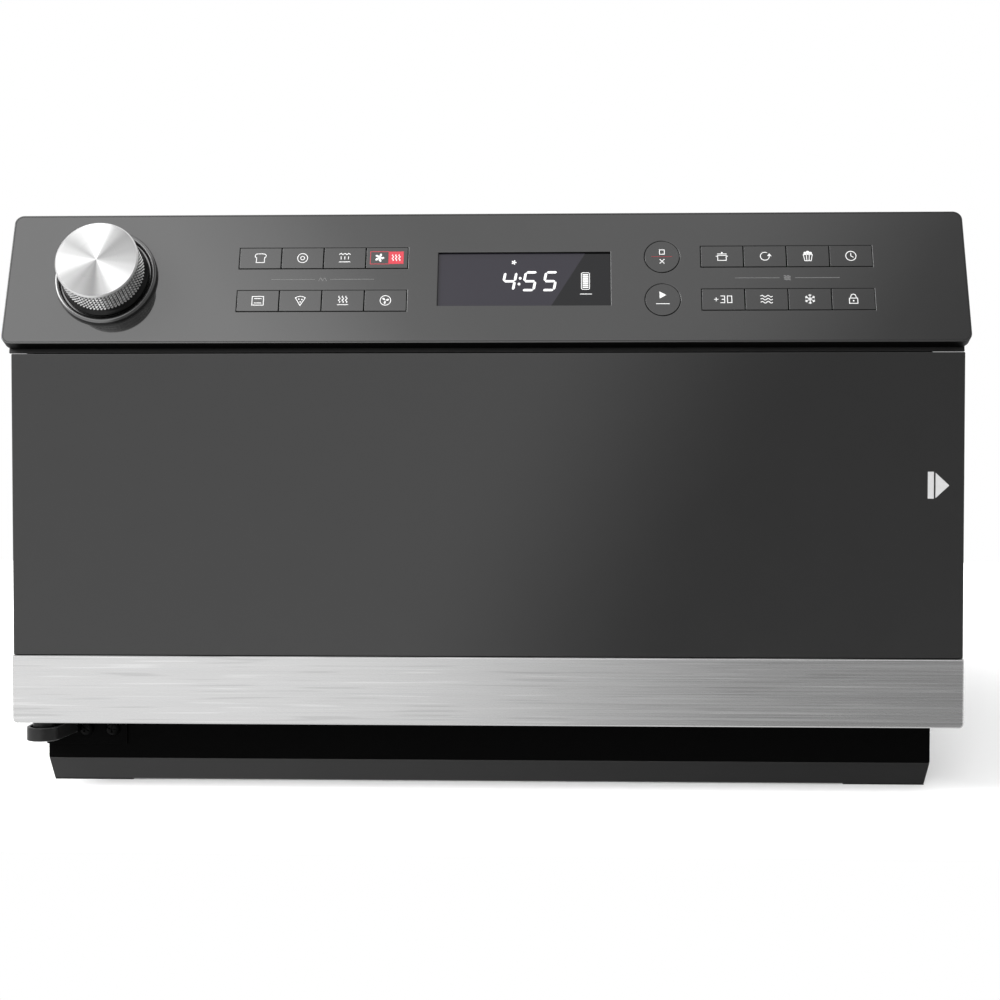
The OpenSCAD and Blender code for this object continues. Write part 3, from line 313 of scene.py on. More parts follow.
@dataclass(frozen=True)
class Finish:
    """A surface finish that makes its material once.

    A texture lowers and raises the roughness by the two values of spread, and lets the colour's
    brightness run between the two values of tones.
    """

    name: str
    colour: Colour
    roughness: float
    metallic: float = 0.0
    specular: float = 0.5
    spread: Point = (0.0, 0.0)
    tones: Point = (1.0, 1.0)
    patch_scale: float = 38.0

    def material(self) -> bpy.types.Material:
        """Returns the finish's material, made at the first call."""
        found = bpy.data.materials.get(self.name)
        if found:
            return found
        material = bpy.data.materials.new(self.name)
        wiring = bare_wiring(material)
        shader = wiring.add("ShaderNodeBsdfPrincipled", {
            "Base Color": self.colour, "Roughness": self.roughness, "Metallic": self.metallic,
            "Specular IOR Level": self.specular})
        wiring.add("ShaderNodeOutputMaterial", {"Surface": shader.outputs[0]})
        self.wire(wiring, shader)
        material.diffuse_color = self.colour
        return material

    def wire(self, w: Wiring, shader: bpy.types.Node) -> None:
        """Adds the finish's own nodes to its shader."""

    def toned(self, w: Wiring, tone: object) -> bpy.types.NodeSocket:
        """Returns the finish's colour, varied in brightness by a socket from 0 to 1."""
        ends = [tuple(min(part * level, 1.0) for part in self.colour[:3]) + (1.0,)
                for level in self.tones]
        return w.mix(tone, *ends)

    def limits(self) -> Point:
        """Returns the lowest and the highest roughness."""
        return (self.roughness - self.spread[0], self.roughness + self.spread[1])

    def rough(self, w: Wiring, value: object) -> bpy.types.NodeSocket:
        """Returns the roughness, varied by a soft texture."""
        return w.remap(value, *MIDST, *self.limits())

    def sheen(self, w: Wiring, place: object) -> bpy.types.NodeOutputs:
        """Varies the roughness in soft patches and returns Roughness and Patches."""
        low, high = self.limits()
        return w.group(sheen_group(), Vector=place, Scale=self.patch_scale, Low=low,
                       High=high).outputs


@dataclass(frozen=True)
class Gloss(Finish):
    """A glossy dark coat or glass back print, with faint unevenness in its shine."""

    spread: Point = (0.0, 0.03)
    tones: Point = (0.94, 1.06)
    ior: float = 1.5
    ripple_scale: float = 260.0
    ripple: float = 2e-6

    def wire(self, w: Wiring, shader: bpy.types.Node) -> None:
        """Adds soft patches in roughness and a very shallow ripple."""
        place = w.place()
        sheen = self.sheen(w, place)
        ripples = w.noise(place, self.ripple_scale, detail=1.0)
        w.fill(shader, {"Base Color": self.toned(w, sheen["Patches"]),
                        "Roughness": sheen["Roughness"], "IOR": self.ior,
                        "Normal": w.bump(ripples, self.ripple)})


@dataclass(frozen=True)
class PaintedGlareGloss(Gloss):
    """The display window: a smoked lens, darker past a slanting edge; the lighter left is a
    painted glare.
    """

    # dark is the lens's own colour; the lighter colour left of the edge is a painted glare
    dark: Colour = (0.02, 0.02, 0.02, 1.0)
    glare_edge_x: float = 0.0
    glare_edge_z: float = 0.0
    glare_slant: float = 0.0
    glare_blur: float = 0.0002

    def wire(self, w: Wiring, shader: bpy.types.Node) -> None:
        """Splits the colour at the slanting edge: painted glare to the left, the lens's darker
        colour past it.
        """
        super().wire(w, shader)
        axes = w.axes(w.place())
        past = w.math("MULTIPLY_ADD", w.math("SUBTRACT", axes["Z"], self.glare_edge_z), -self.glare_slant,
                      w.math("SUBTRACT", axes["X"], self.glare_edge_x))
        mask = w.remap(past, -self.glare_blur, self.glare_blur)
        w.feed(shader.inputs["Base Color"], w.mix(mask, self.colour, self.dark))


@dataclass(frozen=True)
class Brushed(Finish):
    """Metal brushed in long lines."""

    spread: Point = (0.06, 0.08)
    tones: Point = (0.8, 1.2)
    stretch: tuple[float, float, float] = (9.0, 9.0, 5200.0)
    contrast: float = 0.3
    lines: float = 0.0
    depth: float = 3e-6

    def wire(self, w: Wiring, shader: bpy.types.Node) -> None:
        """Adds the brushing lines to colour, roughness and relief."""
        lines = w.group(streaks_group(), Vector=w.place(), Stretch=self.stretch,
                        Contrast=self.contrast, Lines=self.lines).outputs
        w.fill(shader, {
            "Base Color": self.toned(w, w.remap(lines["Tone"], *self.tones)),
            "Roughness": self.rough(w, lines["Height"]),
            "Normal": w.bump(lines["Height"], self.depth)})


@dataclass(frozen=True)
class Spun(Finish):
    """Metal turned on a lathe: fine rings, and painted fans of highlight and shade around the
    middle.
    """

    spread: Point = (0.05, 0.07)
    # the low tone is the painted shade between the fans
    tones: Point = (0.22, 1.0)
    # fans: painted highlight and shade, by turn around the middle
    fans: tuple[Point, ...] = ((0.0, 1.0), (1.0, 1.0))
    rings: float = 2600.0
    ring_tone: Span = (0.25, 0.75, 0.86, 1.1)
    depth: float = 4e-6
    anisotropic: float = 0.75
    face_r: float = 0.0217

    def wire(self, w: Wiring, shader: bpy.types.Node) -> None:
        """Reads the polar UV map: turn first, radius second."""
        axes = w.axes(w.result("ShaderNodeUVMap", uv_map="polar"))
        fans = w.ramp(axes["X"], self.fans, "EASE")
        fine = w.noise(w.vector(w.math("MULTIPLY", axes["Y"], self.rings)), 1.0, detail=3.0,
                       roughness=0.7)
        painted_fans_and_rings = w.math("MULTIPLY", fans, w.remap(fine, *self.ring_tone))
        # the rim past face_r is left out of the painted fans
        tone = w.math("MAXIMUM", painted_fans_and_rings, w.math("GREATER_THAN", axes["Y"], self.face_r))
        w.fill(shader, {
            "Base Color": self.toned(w, tone), "Anisotropic": self.anisotropic,
            "Roughness": self.rough(w, fine), "Normal": w.bump(fine, self.depth),
            "Tangent": w.result("ShaderNodeTangent", direction_type="UV_MAP", uv_map="polar")})


@dataclass(frozen=True)
class Moulded(Finish):
    """Moulded plastic or rubber with a fine spark-eroded texture."""

    spread: Point = (0.05, 0.07)
    tones: Point = (0.88, 1.14)
    patch_scale: float = 60.0
    scale: float = 2200.0
    depth: float = 1.5e-5

    def wire(self, w: Wiring, shader: bpy.types.Node) -> None:
        """Adds the texture's relief and speckle, and soft patches of shine."""
        place = w.place()
        grain = w.group(grain_group(), Vector=place, Scale=self.scale).outputs
        w.fill(shader, {"Base Color": self.toned(w, grain["Speckle"]),
                        "Roughness": self.sheen(w, place)["Roughness"],
                        "Normal": w.bump(grain["Height"], self.depth)})


@dataclass(frozen=True)
class Painted(Moulded):
    """Sheet steel with a baked coat: pebbled, lighter along its edges, partly worn and partly a
    painted highlight.
    """

    spread: Point = (0.02, 0.02)
    tones: Point = (0.85, 1.16)
    patch_scale: float = 24.0
    scale: float = 1500.0
    depth: float = 2e-5
    # lighter edge colour: wear, and a painted edge highlight
    edge: Colour = (0.1, 0.1, 0.1, 1.0)
    edge_radius: float = 0.0007
    wear_and_highlight: float = 0.5

    def wire(self, w: Wiring, shader: bpy.types.Node) -> None:
        """Lightens the edges of the pebbled coat: wear and a painted highlight."""
        super().wire(w, shader)
        colour = shader.inputs["Base Color"]
        worn_and_highlit = w.group(edge_wear_and_highlight_group(), Vector=w.place(), Radius=self.edge_radius,
                         Amount=self.wear_and_highlight)
        w.feed(colour, w.mix(worn_and_highlit.outputs["Mask"], colour.links[0].from_socket, self.edge))


@dataclass(frozen=True)
class Tarnished(Finish):
    """Bare metal, ceramic or mica with cloudy colour, such as heaters and castings."""

    spread: Point = (0.08, 0.1)
    second: Colour = (0.1, 0.1, 0.1, 1.0)
    clouds: Point = (0.35, 0.65)
    scale: float = 45.0
    relief_scale: float = 900.0
    depth: float = 8e-6

    def wire(self, w: Wiring, shader: bpy.types.Node) -> None:
        """Mixes two colours in clouds and adds a shallow relief."""
        place = w.place()
        clouds = w.noise(place, self.scale, detail=5.0, roughness=0.65)
        relief = w.noise(place, self.relief_scale, detail=3.0)
        w.fill(shader, {
            "Base Color": w.mix(w.remap(clouds, *self.clouds), self.colour, self.second),
            "Roughness": self.rough(w, clouds), "Normal": w.bump(relief, self.depth)})


@dataclass(frozen=True)
class Clear(Finish):
    """Clear glass with a faint roll of the sheet."""

    tones: Point = (0.98, 1.0)
    ior: float = 1.47
    scale: float = 14.0
    depth: float = 6e-6

    def wire(self, w: Wiring, shader: bpy.types.Node) -> None:
        """Sets full transmission and a very long, shallow wave."""
        roll = w.noise(w.place(), self.scale, detail=1.0)
        w.fill(shader, {"Transmission Weight": 1.0, "IOR": self.ior,
                        "Base Color": self.toned(w, roll), "Normal": w.bump(roll, self.depth)})


@dataclass(frozen=True)
class Printed(Finish):
    """Screen-printed ink with a slightly uneven film."""

    tones: Point = (0.93, 1.04)
    glow: float = 0.0
    scale: float = 1800.0
    depth: float = 4e-6

    def wire(self, w: Wiring, shader: bpy.types.Node) -> None:
        """Adds the film's unevenness, and a glow for lit marks."""
        film = w.noise(w.place(), self.scale, detail=3.0, roughness=0.6)
        colour = self.toned(w, w.remap(film, *MIDST))
        w.fill(shader, {"Base Color": colour, "Normal": w.bump(film, self.depth)})
        if self.glow:
            w.fill(shader, {"Emission Color": colour, "Emission Strength": self.glow})


@dataclass(frozen=True)
class Laminate(Finish):
    """A circuit board: masked laminate with copper runs under the mask."""

    copper: Colour = (0.05, 0.2, 0.06, 1.0)
    scale: float = 160.0
    run_width: float = 0.08
    depth: float = 1e-5

    def wire(self, w: Wiring, shader: bpy.types.Node) -> None:
        """Draws straight runs in cells."""
        black, white = (0.0, 0.0, 0.0, 1.0), (1.0, 1.0, 1.0, 1.0)
        runs = w.result("ShaderNodeTexBrick", {
            "Vector": w.place(), "Scale": self.scale, "Mortar Size": self.run_width,
            "Color1": black, "Color2": black, "Mortar": white})
        w.fill(shader, {"Base Color": w.mix(runs, self.colour, self.copper),
                        "Normal": w.bump(runs, self.depth)})


PANEL_GLOSS = Gloss("panel_gloss_coat", grey(47), 0.035, ior=1.78, spread=(0.0, 0.015))
KEY_GLOSS = Gloss("key_gloss_coat", grey(47), 0.10, ior=1.78)
DOOR_GLASS = Gloss("dark_door_glass", grey(33), 0.06, ior=1.56, spread=(0.0, 0.02))
# the lighter colour is a painted glare on the lens's left part; dark is its own colour
LENS_PAINTED_GLARE = PaintedGlareGloss("display_lens_painted_glare", rgb(43, 41, 49), 0.08, dark=rgb(14, 14, 17),
                    glare_edge_x=0.0368, glare_edge_z=0.2646, glare_slant=0.627)
RING_GLOSS = Gloss("dial_ring_gloss", grey(16), 0.16, ior=2.3)
SCREW_BLACK = Tarnished("blackened_screws", grey(22), 0.3, 1.0, second=grey(18), scale=400.0)
STRIP_STEEL = Brushed("brushed_strip_steel", grey(210), 0.24, 1.0, stretch=(7.0, 7.0, 1500.0),
                      contrast=0.22, lines=0.12)
ZINC_STEEL = Brushed("zinc_plated_steel", grey(170), 0.42, 1.0, stretch=(60.0, 60.0, 900.0),
                     contrast=0.35)
SHAFT_STEEL = Brushed("bright_steel", grey(190), 0.28, 1.0, stretch=(400.0, 400.0, 900.0))
# the cap's fans are painted highlight and shade in its colour
CAP_SPUN = Spun("spun_dial_cap_painted_fans", grey(218), 0.30, 1.0, fans=(
    (0.0, 0.42), (0.06, 0.27), (0.12, 0.2), (0.17, 0.4), (0.225, 0.85), (0.28, 0.8),
    (0.34, 0.44), (0.4, 0.36), (0.45, 0.6), (0.49, 0.85), (0.54, 0.8), (0.6, 0.4),
    (0.67, 0.16), (0.745, 0.0), (0.80, 0.25), (0.85, 0.7), (0.91, 0.85), (0.96, 0.6),
    (1.0, 0.42)))
KNURL_CHROME = Tarnished("knurl_chrome", grey(228), 0.09, 1.0, second=grey(188),
                         scale=300.0, depth=2e-6)
FLANGE_CHROME = Tarnished("smooth_dark_chrome", grey(46), 0.2, 1.0, second=grey(38),
                          scale=200.0, depth=1e-6)
BLACK_PAINT = Painted("black_texture_paint", grey(30), 0.42, edge=grey(62))
SKIRT_PAINT = Painted("black_skirt_paint", grey(22), 0.3, specular=0.5, edge=grey(74), depth=1e-5,
                      wear_and_highlight=0.6)
# the bracket's bright edges are mostly a painted rim highlight
BRACKET_PAINT = Painted("black_bracket_paint", grey(30), 0.34, specular=0.3, edge=grey(150),
                        depth=8e-6, wear_and_highlight=1.0)
# painted shade: near-black matt side walls of the panel, so that its edges show as dark lines
PANEL_SIDE_SHADE = Painted("panel_side_painted_shade", grey(8), 0.5, specular=0.1, edge=grey(20), depth=5e-6,
                     wear_and_highlight=0.3)
# painted shade: near-black, barely glossy paint for the frame below the door and the hinge plate,
# where the door's shade falls
UNDER_DOOR_SHADE_PAINT = Painted("frame_black_painted_shade", grey(6), 0.5, specular=0.02, edge=grey(16), depth=1e-5,
                      wear_and_highlight=0.3)
SATIN_FRAME = Painted("satin_frame_paint", grey(22), 0.34, specular=0.4, edge=grey(60), depth=1e-5,
                      wear_and_highlight=0.4)
HOUSING_PLASTIC = Moulded("black_housing_plastic", grey(22), 0.5)
DOOR_PLASTIC = Moulded("black_door_plastic", grey(26), 0.44, scale=1800.0)
BLACK_PLASTIC = Moulded("black_small_plastic", grey(28), 0.4)
IVORY_PLASTIC = Moulded("moulded_ivory_plastic", rgb(226, 220, 203), 0.4)
FOOT_RUBBER = Moulded("moulded_foot_rubber", grey(20), 0.75, scale=1300.0, depth=3e-5)
CAVITY_ENAMEL = Painted("cavity_grey_enamel", grey(118), 0.3, scale=900.0, edge=grey(150),
                        depth=1.2e-5, wear_and_highlight=0.25)
CHOKE_PAINT = Painted("choke_panel_paint", grey(36), 0.36, edge=grey(70), depth=8e-6, wear_and_highlight=0.35)
CLEAR_GLASS = Clear("window_clear_glass", (0.97, 0.99, 0.98, 1.0), 0.02)
PLATE_GLASS = Clear("turntable_glass", (0.94, 0.985, 0.965, 1.0), 0.03)
QUARTZ = Clear("quartz_tube", (0.96, 0.96, 0.97, 1.0), 0.12)
MICA = Tarnished("mica_sheet", rgb(150, 132, 104), 0.45, second=rgb(176, 160, 132), scale=30.0)
ELEMENT = Tarnished("oxidised_heater", grey(78), 0.42, 1.0, second=rgb(96, 82, 72))
CASTING = Tarnished("motor_casting", grey(150), 0.5, 1.0, second=grey(126), scale=90.0,
                    depth=3e-5)
WINDING = Brushed("copper_winding", rgb(176, 102, 62), 0.35, 1.0, stretch=(40.0, 40.0, 2600.0),
                  contrast=0.6, depth=4e-5)
BOARD = Laminate("green_board", rgb(30, 84, 50), 0.42)
WHITE_INK = Printed("white_ink", grey(236), 0.5)
SOFT_INK = Printed("soft_grey_ink", grey(198), 0.5)
CAPTION_INK = Printed("dim_grey_ink", grey(112), 0.5)
RED_INK = Printed("red_ink", rgb(204, 58, 72), 0.5)
DULL_RED_INK = Printed("dull_red_ink", rgb(150, 46, 54), 0.5)
LIT_WHITE = Printed("lit_segment", grey(225), 0.4, glow=0.55)
# painted shade: a dark line that stands for the dark bevel of the panel's edge
PAINTED_EDGE_SHADE = Printed("panel_edge_painted_shade", grey(20), 0.4)


# ---------------------------------------------------------------- meshes

def body_of(node: str) -> str:
    """Returns the name of the body that a CAD node rides on."""
    return frame["nodes"][node]["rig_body"]


def joint_of(name: str) -> dict:
    """Returns a joint's entry in the frame."""
    return next(joint for joint in frame["joints"] if joint["name"] == name)


def link(thing: bpy.types.Object) -> bpy.types.Object:
    """Puts an object in the scene and returns it."""
    bpy.context.scene.collection.objects.link(thing)
    return thing


def mesh_of(bm: bmesh.types.BMesh, name: str) -> bpy.types.Mesh:
    """Returns what a bmesh holds as a mesh, and frees the bmesh."""
    mesh = bpy.data.meshes.new(name)
    bm.to_mesh(mesh)
    bm.free()
    return mesh


def shaded(mesh: bpy.types.Mesh, angle: float) -> bpy.types.Mesh:
    """Smooths a mesh, except at edges sharper than an angle in degrees, and returns it."""
    mesh.shade_smooth()
    mesh.set_sharp_from_angle(angle=math.radians(angle))
    return mesh


def extent(points: Iterable[Vector]) -> tuple[Vector, Vector]:
    """Returns the lowest and the highest corner of the box around some points."""
    axes = list(zip(*points))
    return Vector([min(axis) for axis in axes]), Vector([max(axis) for axis in axes])


def polar(radius: float, angle: float, x: float = 0.0, y: float = 0.0) -> Point:
    """Returns the point at a distance from (x, y), in the direction of an angle in degrees."""
    turn = math.radians(angle)
    return (x + radius * math.cos(turn), y + radius * math.sin(turn))


def ring_of(bm: bmesh.types.BMesh, radius: float, height: float, steps: int
            ) -> list[bmesh.types.BMVert]:
    """Adds points around the Z axis, at a radius and height in millimetres."""
    return [bm.verts.new((*polar(radius * MM, 360 * i / steps), height * MM))
            for i in range(steps)]


def finished_mesh(mesh: bpy.types.Mesh, modifiers: Callable[[bpy.types.Object], None]
                  ) -> bpy.types.Mesh:
    """Runs modifiers on a mesh and returns their result as a plain mesh.

    Args:
        mesh: The mesh to work on; it is used up.
        modifiers: Adds the modifiers to a helper object that holds the mesh.

    Returns:
        The new mesh.
    """
    helper = link(bpy.data.objects.new("helper", mesh))
    modifiers(helper)
    bpy.context.view_layer.update()
    graph = bpy.context.evaluated_depsgraph_get()
    result = bpy.data.meshes.new_from_object(helper.evaluated_get(graph),
                                             preserve_all_data_layers=True, depsgraph=graph)
    bpy.data.objects.remove(helper)
    bpy.data.meshes.remove(mesh)
    return result


def softened(node: str, width: float, segments: int = 2) -> bpy.types.Mesh:
    """Copies a CAD node with its loose triangles joined and its sharp edges rounded.

    Args:
        node: Name of the CAD node.
        width: Width of the rounding in metres; 0 leaves the edges sharp.
        segments: Faces across the rounding; 1 makes a flat chamfer.

    Returns:
        The new mesh, shaded smooth over its curved faces.
    """
    source = frame["nodes"][node].data
    bm = bmesh.new()
    verts = [bm.verts.new(v.co) for v in source.vertices]
    for face in source.polygons:
        bm.faces.new([verts[i] for i in face.vertices])
    bmesh.ops.remove_doubles(bm, verts=bm.verts, dist=JOIN)
    bmesh.ops.dissolve_limit(bm, angle_limit=math.radians(FLAT), use_dissolve_boundaries=False,
                             verts=bm.verts, edges=bm.edges)
    mesh = shaded(mesh_of(bm, node + "_soft"), SHARP)
    if width <= 0:
        return mesh

    def round_edges(helper: bpy.types.Object) -> None:
        """Adds the rounding."""
        bevel = helper.modifiers.new("rounding", "BEVEL")
        bevel.width = width
        bevel.segments = segments
        bevel.limit_method = "ANGLE"
        bevel.angle_limit = math.radians(SHARP)
        bevel.use_clamp_overlap = False
        bevel.harden_normals = segments > 1
    mesh = finished_mesh(mesh, round_edges)
    if segments == 1:
        mesh.set_sharp_from_angle(angle=math.radians(SHARP))
    return mesh


def coat(mesh: bpy.types.Mesh, finish: Finish) -> None:
    """Makes a finish the only material of a mesh."""
    mesh.materials.clear()
    mesh.materials.append(finish.material())


def add_piece(name: str, mesh: bpy.types.Mesh, body: str, finish: Finish, slot: str,
              replaces: Iterable[str] = ()) -> bpy.types.Object:
    """Puts a finished mesh in the scene as one piece.

    Args:
        name: Name of the piece.
        mesh: Its mesh, in the shared frame.
        body: The body that it rides on.
        finish: Its finish.
        slot: The record's material slot that it stands for; not used.
        replaces: CAD nodes that it stands for.

    Returns:
        The piece's object.
    """
    mesh.name = name
    coat(mesh, finish)
    piece = link(bpy.data.objects.new(name, mesh))
    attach(piece, body)
    nodes = list(replaces)
    if nodes:
        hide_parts(*nodes)
    LOG.info("piece %s on %s, %d faces", name, body, len(mesh.polygons))
    return piece


def dress(node: str, finish: Finish) -> None:
    """Gives a CAD node that stays in sight a finish."""
    coat(frame["nodes"][node].data, finish)
    LOG.info("dressed %s in %s", node, finish.name)


def soften_piece(node: str, width: float, finish: Finish, slot: str, segments: int = 2
                 ) -> bpy.types.Object:
    """Replaces a CAD node by its copy with rounded edges.

    Args:
        node: Name of the CAD node.
        width: Width of the rounding in metres.
        finish: Finish of the copy.
        slot: The record's material slot.
        segments: Faces across the rounding.

    Returns:
        The new piece.
    """
    return add_piece(node + "_look", softened(node, width, segments), body_of(node), finish,
                     slot, [node])


def soften_all(rows: Iterable[tuple]) -> dict[str, bpy.types.Object]:
    """Replaces many CAD nodes; a row holds what soften_piece takes."""
    return {row[0]: soften_piece(*row) for row in rows}


def split(piece: bpy.types.Object, height: float) -> None:
    """Cuts a piece's faces along a level plane, so that each side can take its own finish."""
    bm = bmesh.new()
    bm.from_mesh(piece.data)
    bmesh.ops.bisect_plane(bm, geom=bm.verts[:] + bm.edges[:] + bm.faces[:], dist=1e-6,
                           plane_co=(0, 0, height), plane_no=(0, 0, 1))
    bm.to_mesh(piece.data)
    bm.free()


def repaint(piece: bpy.types.Object, finish: Finish,
            chosen: Callable[[bpy.types.MeshPolygon], bool]) -> None:
    """Gives some faces of a piece a second finish.

    Args:
        piece: The piece.
        finish: The second finish.
        chosen: Says of a face whether it takes that finish.
    """
    piece.data.materials.append(finish.material())
    for face in piece.data.polygons:
        if chosen(face):
            face.material_index = 1


def turned(name: str, profile: Sequence[Point], steps: int, place: Matrix,
           sharp: float = 30.0) -> bpy.types.Mesh:
    """Turns a profile around an axis, with a polar UV map.

    Args:
        name: Name of the mesh.
        profile: Points as radius and height in millimetres, from one pole or edge to the other.
        steps: Steps around the axis.
        place: Matrix from the axis frame, in metres, to the shared frame.
        sharp: Edges sharper than this many degrees stay sharp.

    Returns:
        The new mesh.
    """
    bm = bmesh.new()
    uv = bm.loops.layers.uv.new("polar")
    rings: list[list[bmesh.types.BMVert]] = []
    for radius, height in profile:
        pole = radius < 1e-6
        rings.append([bm.verts.new((0, 0, height * MM))] if pole
                     else ring_of(bm, radius, height, steps))
    for index in range(len(rings) - 1):
        for i in range(steps):
            kept: list[tuple[int, int]] = []
            for ring, step in ((index, i), (index, i + 1), (index + 1, i + 1), (index + 1, i)):
                if len(rings[ring]) == 1 and any(ring == k[0] for k in kept):
                    continue
                kept.append((ring, step))
            face = bm.faces.new([rings[r][s % len(rings[r])] for r, s in kept])
            for loop, (ring, step) in zip(face.loops, kept):
                turn = (step if len(rings[ring]) > 1 else i + 0.5) / steps
                loop[uv].uv = (turn, profile[ring][0] * MM)
    bmesh.ops.recalc_face_normals(bm, faces=bm.faces)
    mesh = mesh_of(bm, name)
    mesh.transform(place)
    return shaded(mesh, sharp)


def rounded(points: Sequence[Point], radius: float, steps: int = 6) -> list[Point]:
    """Rounds the inner corners of an open profile.

    Args:
        points: Points of the profile.
        radius: How far from each corner the rounding starts.
        steps: Points on each rounding.

    Returns:
        The longer list of points.
    """
    result = [points[0]]
    for a, b, c in zip(*(map(Vector, points[shift:]) for shift in range(3))):
        reach = min(radius, (a - b).length / 2, (c - b).length / 2)
        start, end = b + (a - b).normalized() * reach, b + (c - b).normalized() * reach
        for t in (i / steps for i in range(steps + 1)):
            result.append(tuple(start * (1 - t) ** 2 + b * 2 * t * (1 - t) + end * t ** 2))
    return result + [points[-1]]


class Ink:
    """Flat raised marks on one surface, drawn in millimetres and gathered in one mesh."""

    def __init__(self, place: Matrix, thickness: float = 0.05) -> None:
        """Starts an empty sheet.

        Args:
            place: Matrix from the sheet, in metres, to the shared frame.
            thickness: Height of the marks in millimetres.
        """
        self.place = place
        self.thickness = thickness
        self.bm = bmesh.new()

    def fill(self, outline: Sequence[Point]) -> None:
        """Draws a filled shape."""
        self.bm.faces.new([self.bm.verts.new((x * MM, y * MM, 0)) for x, y in outline])

    def line(self, points: Sequence[Point], width: float, closed: bool = False) -> None:
        """Draws a line with mitred corners.

        Args:
            points: The line's points.
            width: Its width.
            closed: Whether it returns to its start.
        """
        path = [Vector(p) for p in points]
        count = len(path)
        sides: list[tuple[Vector, Vector]] = []
        for i, point in enumerate(path):
            before = path[i - 1] if closed or i else None
            after = path[(i + 1) % count] if closed or i < count - 1 else None
            normals = [Vector((-(b - a).y, (b - a).x)).normalized()
                       for a, b in ((before, point), (point, after))
                       if a is not None and b is not None]
            middle = sum(normals, Vector((0, 0))).normalized()
            reach = width / 2 / max(middle.dot(normals[0]), 0.35)
            sides.append((point + middle * reach, point - middle * reach))
        made = [[self.bm.verts.new((p.x * MM, p.y * MM, 0)) for p in pair] for pair in sides]
        for i in range(count if closed else count - 1):
            (a, b), (c, d) = made[i], made[(i + 1) % count]
            self.bm.faces.new([a, b, d, c])

    def ring(self, x: float, y: float, radius: float, width: float, steps: int = 30) -> None:
        """Draws a ring around (x, y), with the width of its line."""
        self.line([polar(radius, 360 * i / steps, x, y) for i in range(steps)], width, True)

    def disc(self, x: float, y: float, radius: float, steps: int = 20) -> None:
        """Draws a filled disc."""
        self.fill([polar(radius, 360 * i / steps, x, y) for i in range(steps)])

    def mesh(self, name: str) -> bpy.types.Mesh:
        """Raises the marks and returns their mesh in the shared frame."""
        bmesh.ops.recalc_face_normals(self.bm, faces=self.bm.faces)
        for face in self.bm.faces:
            if face.normal.z < 0:
                face.normal_flip()
        made = bmesh.ops.extrude_face_region(self.bm, geom=list(self.bm.faces))
        top = [e for e in made["geom"] if isinstance(e, bmesh.types.BMVert)]
        bmesh.ops.translate(self.bm, verts=top, vec=(0, 0, self.thickness * MM))
        bmesh.ops.recalc_face_normals(self.bm, faces=self.bm.faces)
        mesh = mesh_of(self.bm, name)
        mesh.transform(self.place)
        return mesh

    def piece(self, name: str, body: str, finish: Finish, slot: str) -> None:
        """Puts the marks in the scene as one piece, with what add_piece takes."""
        add_piece(name, self.mesh(name), body, finish, slot)


# ---------------------------------------------------------------- geometry nodes

class Growth:
    """A Geometry Nodes tree with named inputs, which makes one plain mesh."""

    def __init__(self, name: str, **inputs: str) -> None:
        """Starts the tree.

        Args:
            name: Name of the tree.
            **inputs: Socket type of each named input, such as Float, Int, Object or Vector.
        """
        self.tree = bpy.data.node_groups.new(name, "GeometryNodeTree")
        labels = {"Geometry": "Geometry", **inputs, "Material": "Material"}
        for direction, sockets in (("INPUT", labels), ("OUTPUT", {"Geometry": "Geometry"})):
            for label, kind in sockets.items():
                self.tree.interface.new_socket(name=label, in_out=direction,
                                               socket_type="NodeSocket" + kind)
        self.wiring = Wiring(self.tree)
        self.source = self.wiring.add("NodeGroupInput").outputs

    def grid(self, length: str) -> tuple[bpy.types.NodeSocket, ...]:
        """Makes points for a grid with the input Rows.

        Args:
            length: Name of the input with the number of points in a row.

        Returns:
            The points, each point's number and the number of its row.
        """
        w, s = self.wiring, self.source
        points = w.result("GeometryNodePoints", {0: w.math("MULTIPLY", s[length], s["Rows"])})
        index = w.result("GeometryNodeInputIndex")
        row = w.math("FLOOR", w.math("DIVIDE", w.math("ADD", index, 0.5), s[length]))
        return points, index, row

    def moved(self, points: bpy.types.NodeSocket, place: bpy.types.NodeSocket
              ) -> bpy.types.NodeSocket:
        """Sets the position of points and returns their socket."""
        return self.wiring.result("GeometryNodeSetPosition", {"Geometry": points,
                                                              "Position": place})

    def shape(self) -> bpy.types.NodeSocket:
        """Returns the mesh of the object in the input Shape."""
        node = self.wiring.add("GeometryNodeObjectInfo", {"Object": self.source["Shape"]})
        return node.outputs["Geometry"]

    def end(self, points: bpy.types.NodeSocket, shape: bpy.types.NodeSocket,
            merge: float = 0.0, **settings: object) -> "Growth":
        """Puts a shape on each point and closes the tree.

        Args:
            points: Socket with the points.
            shape: Socket with the shape.
            merge: Distance in metres within which corners are joined.
            **settings: Rotation and Scale of the instances.

        Returns:
            The growth itself.
        """
        w = self.wiring
        spread = w.result("GeometryNodeInstanceOnPoints", {"Points": points, "Instance": shape,
                                                           **settings})
        real = w.result("GeometryNodeRealizeInstances", {0: spread})
        if merge:
            real = w.result("GeometryNodeMergeByDistance", {"Geometry": real,
                                                            "Distance": merge})
        dressed = w.result("GeometryNodeSetMaterial", {0: real,
                                                       "Material": self.source["Material"]})
        w.add("NodeGroupOutput", {0: dressed})
        return self

    def mesh(self, finish: Finish, points: Iterable[Vector] = (Vector(),), **values: object
             ) -> bpy.types.Mesh:
        """Grows the tree's result on a set of points.

        Args:
            finish: Finish for the input Material.
            points: Places that the tree may read.
            **values: Value of each other named input.

        Returns:
            The result as a plain mesh.
        """
        seed = bpy.data.meshes.new("seed")
        seed.from_pydata([tuple(p) for p in points], [], [])
        values["Material"] = finish.material()

        def grow(helper: bpy.types.Object) -> None:
            """Adds the tree with its inputs set by identifier."""
            modifier = helper.modifiers.new("growth", "NODES")
            modifier.node_group = self.tree
            for item in self.tree.interface.items_tree:
                if item.in_out == "INPUT" and item.name in values:
                    modifier[item.identifier] = values[item.name]
        return finished_mesh(seed, grow)


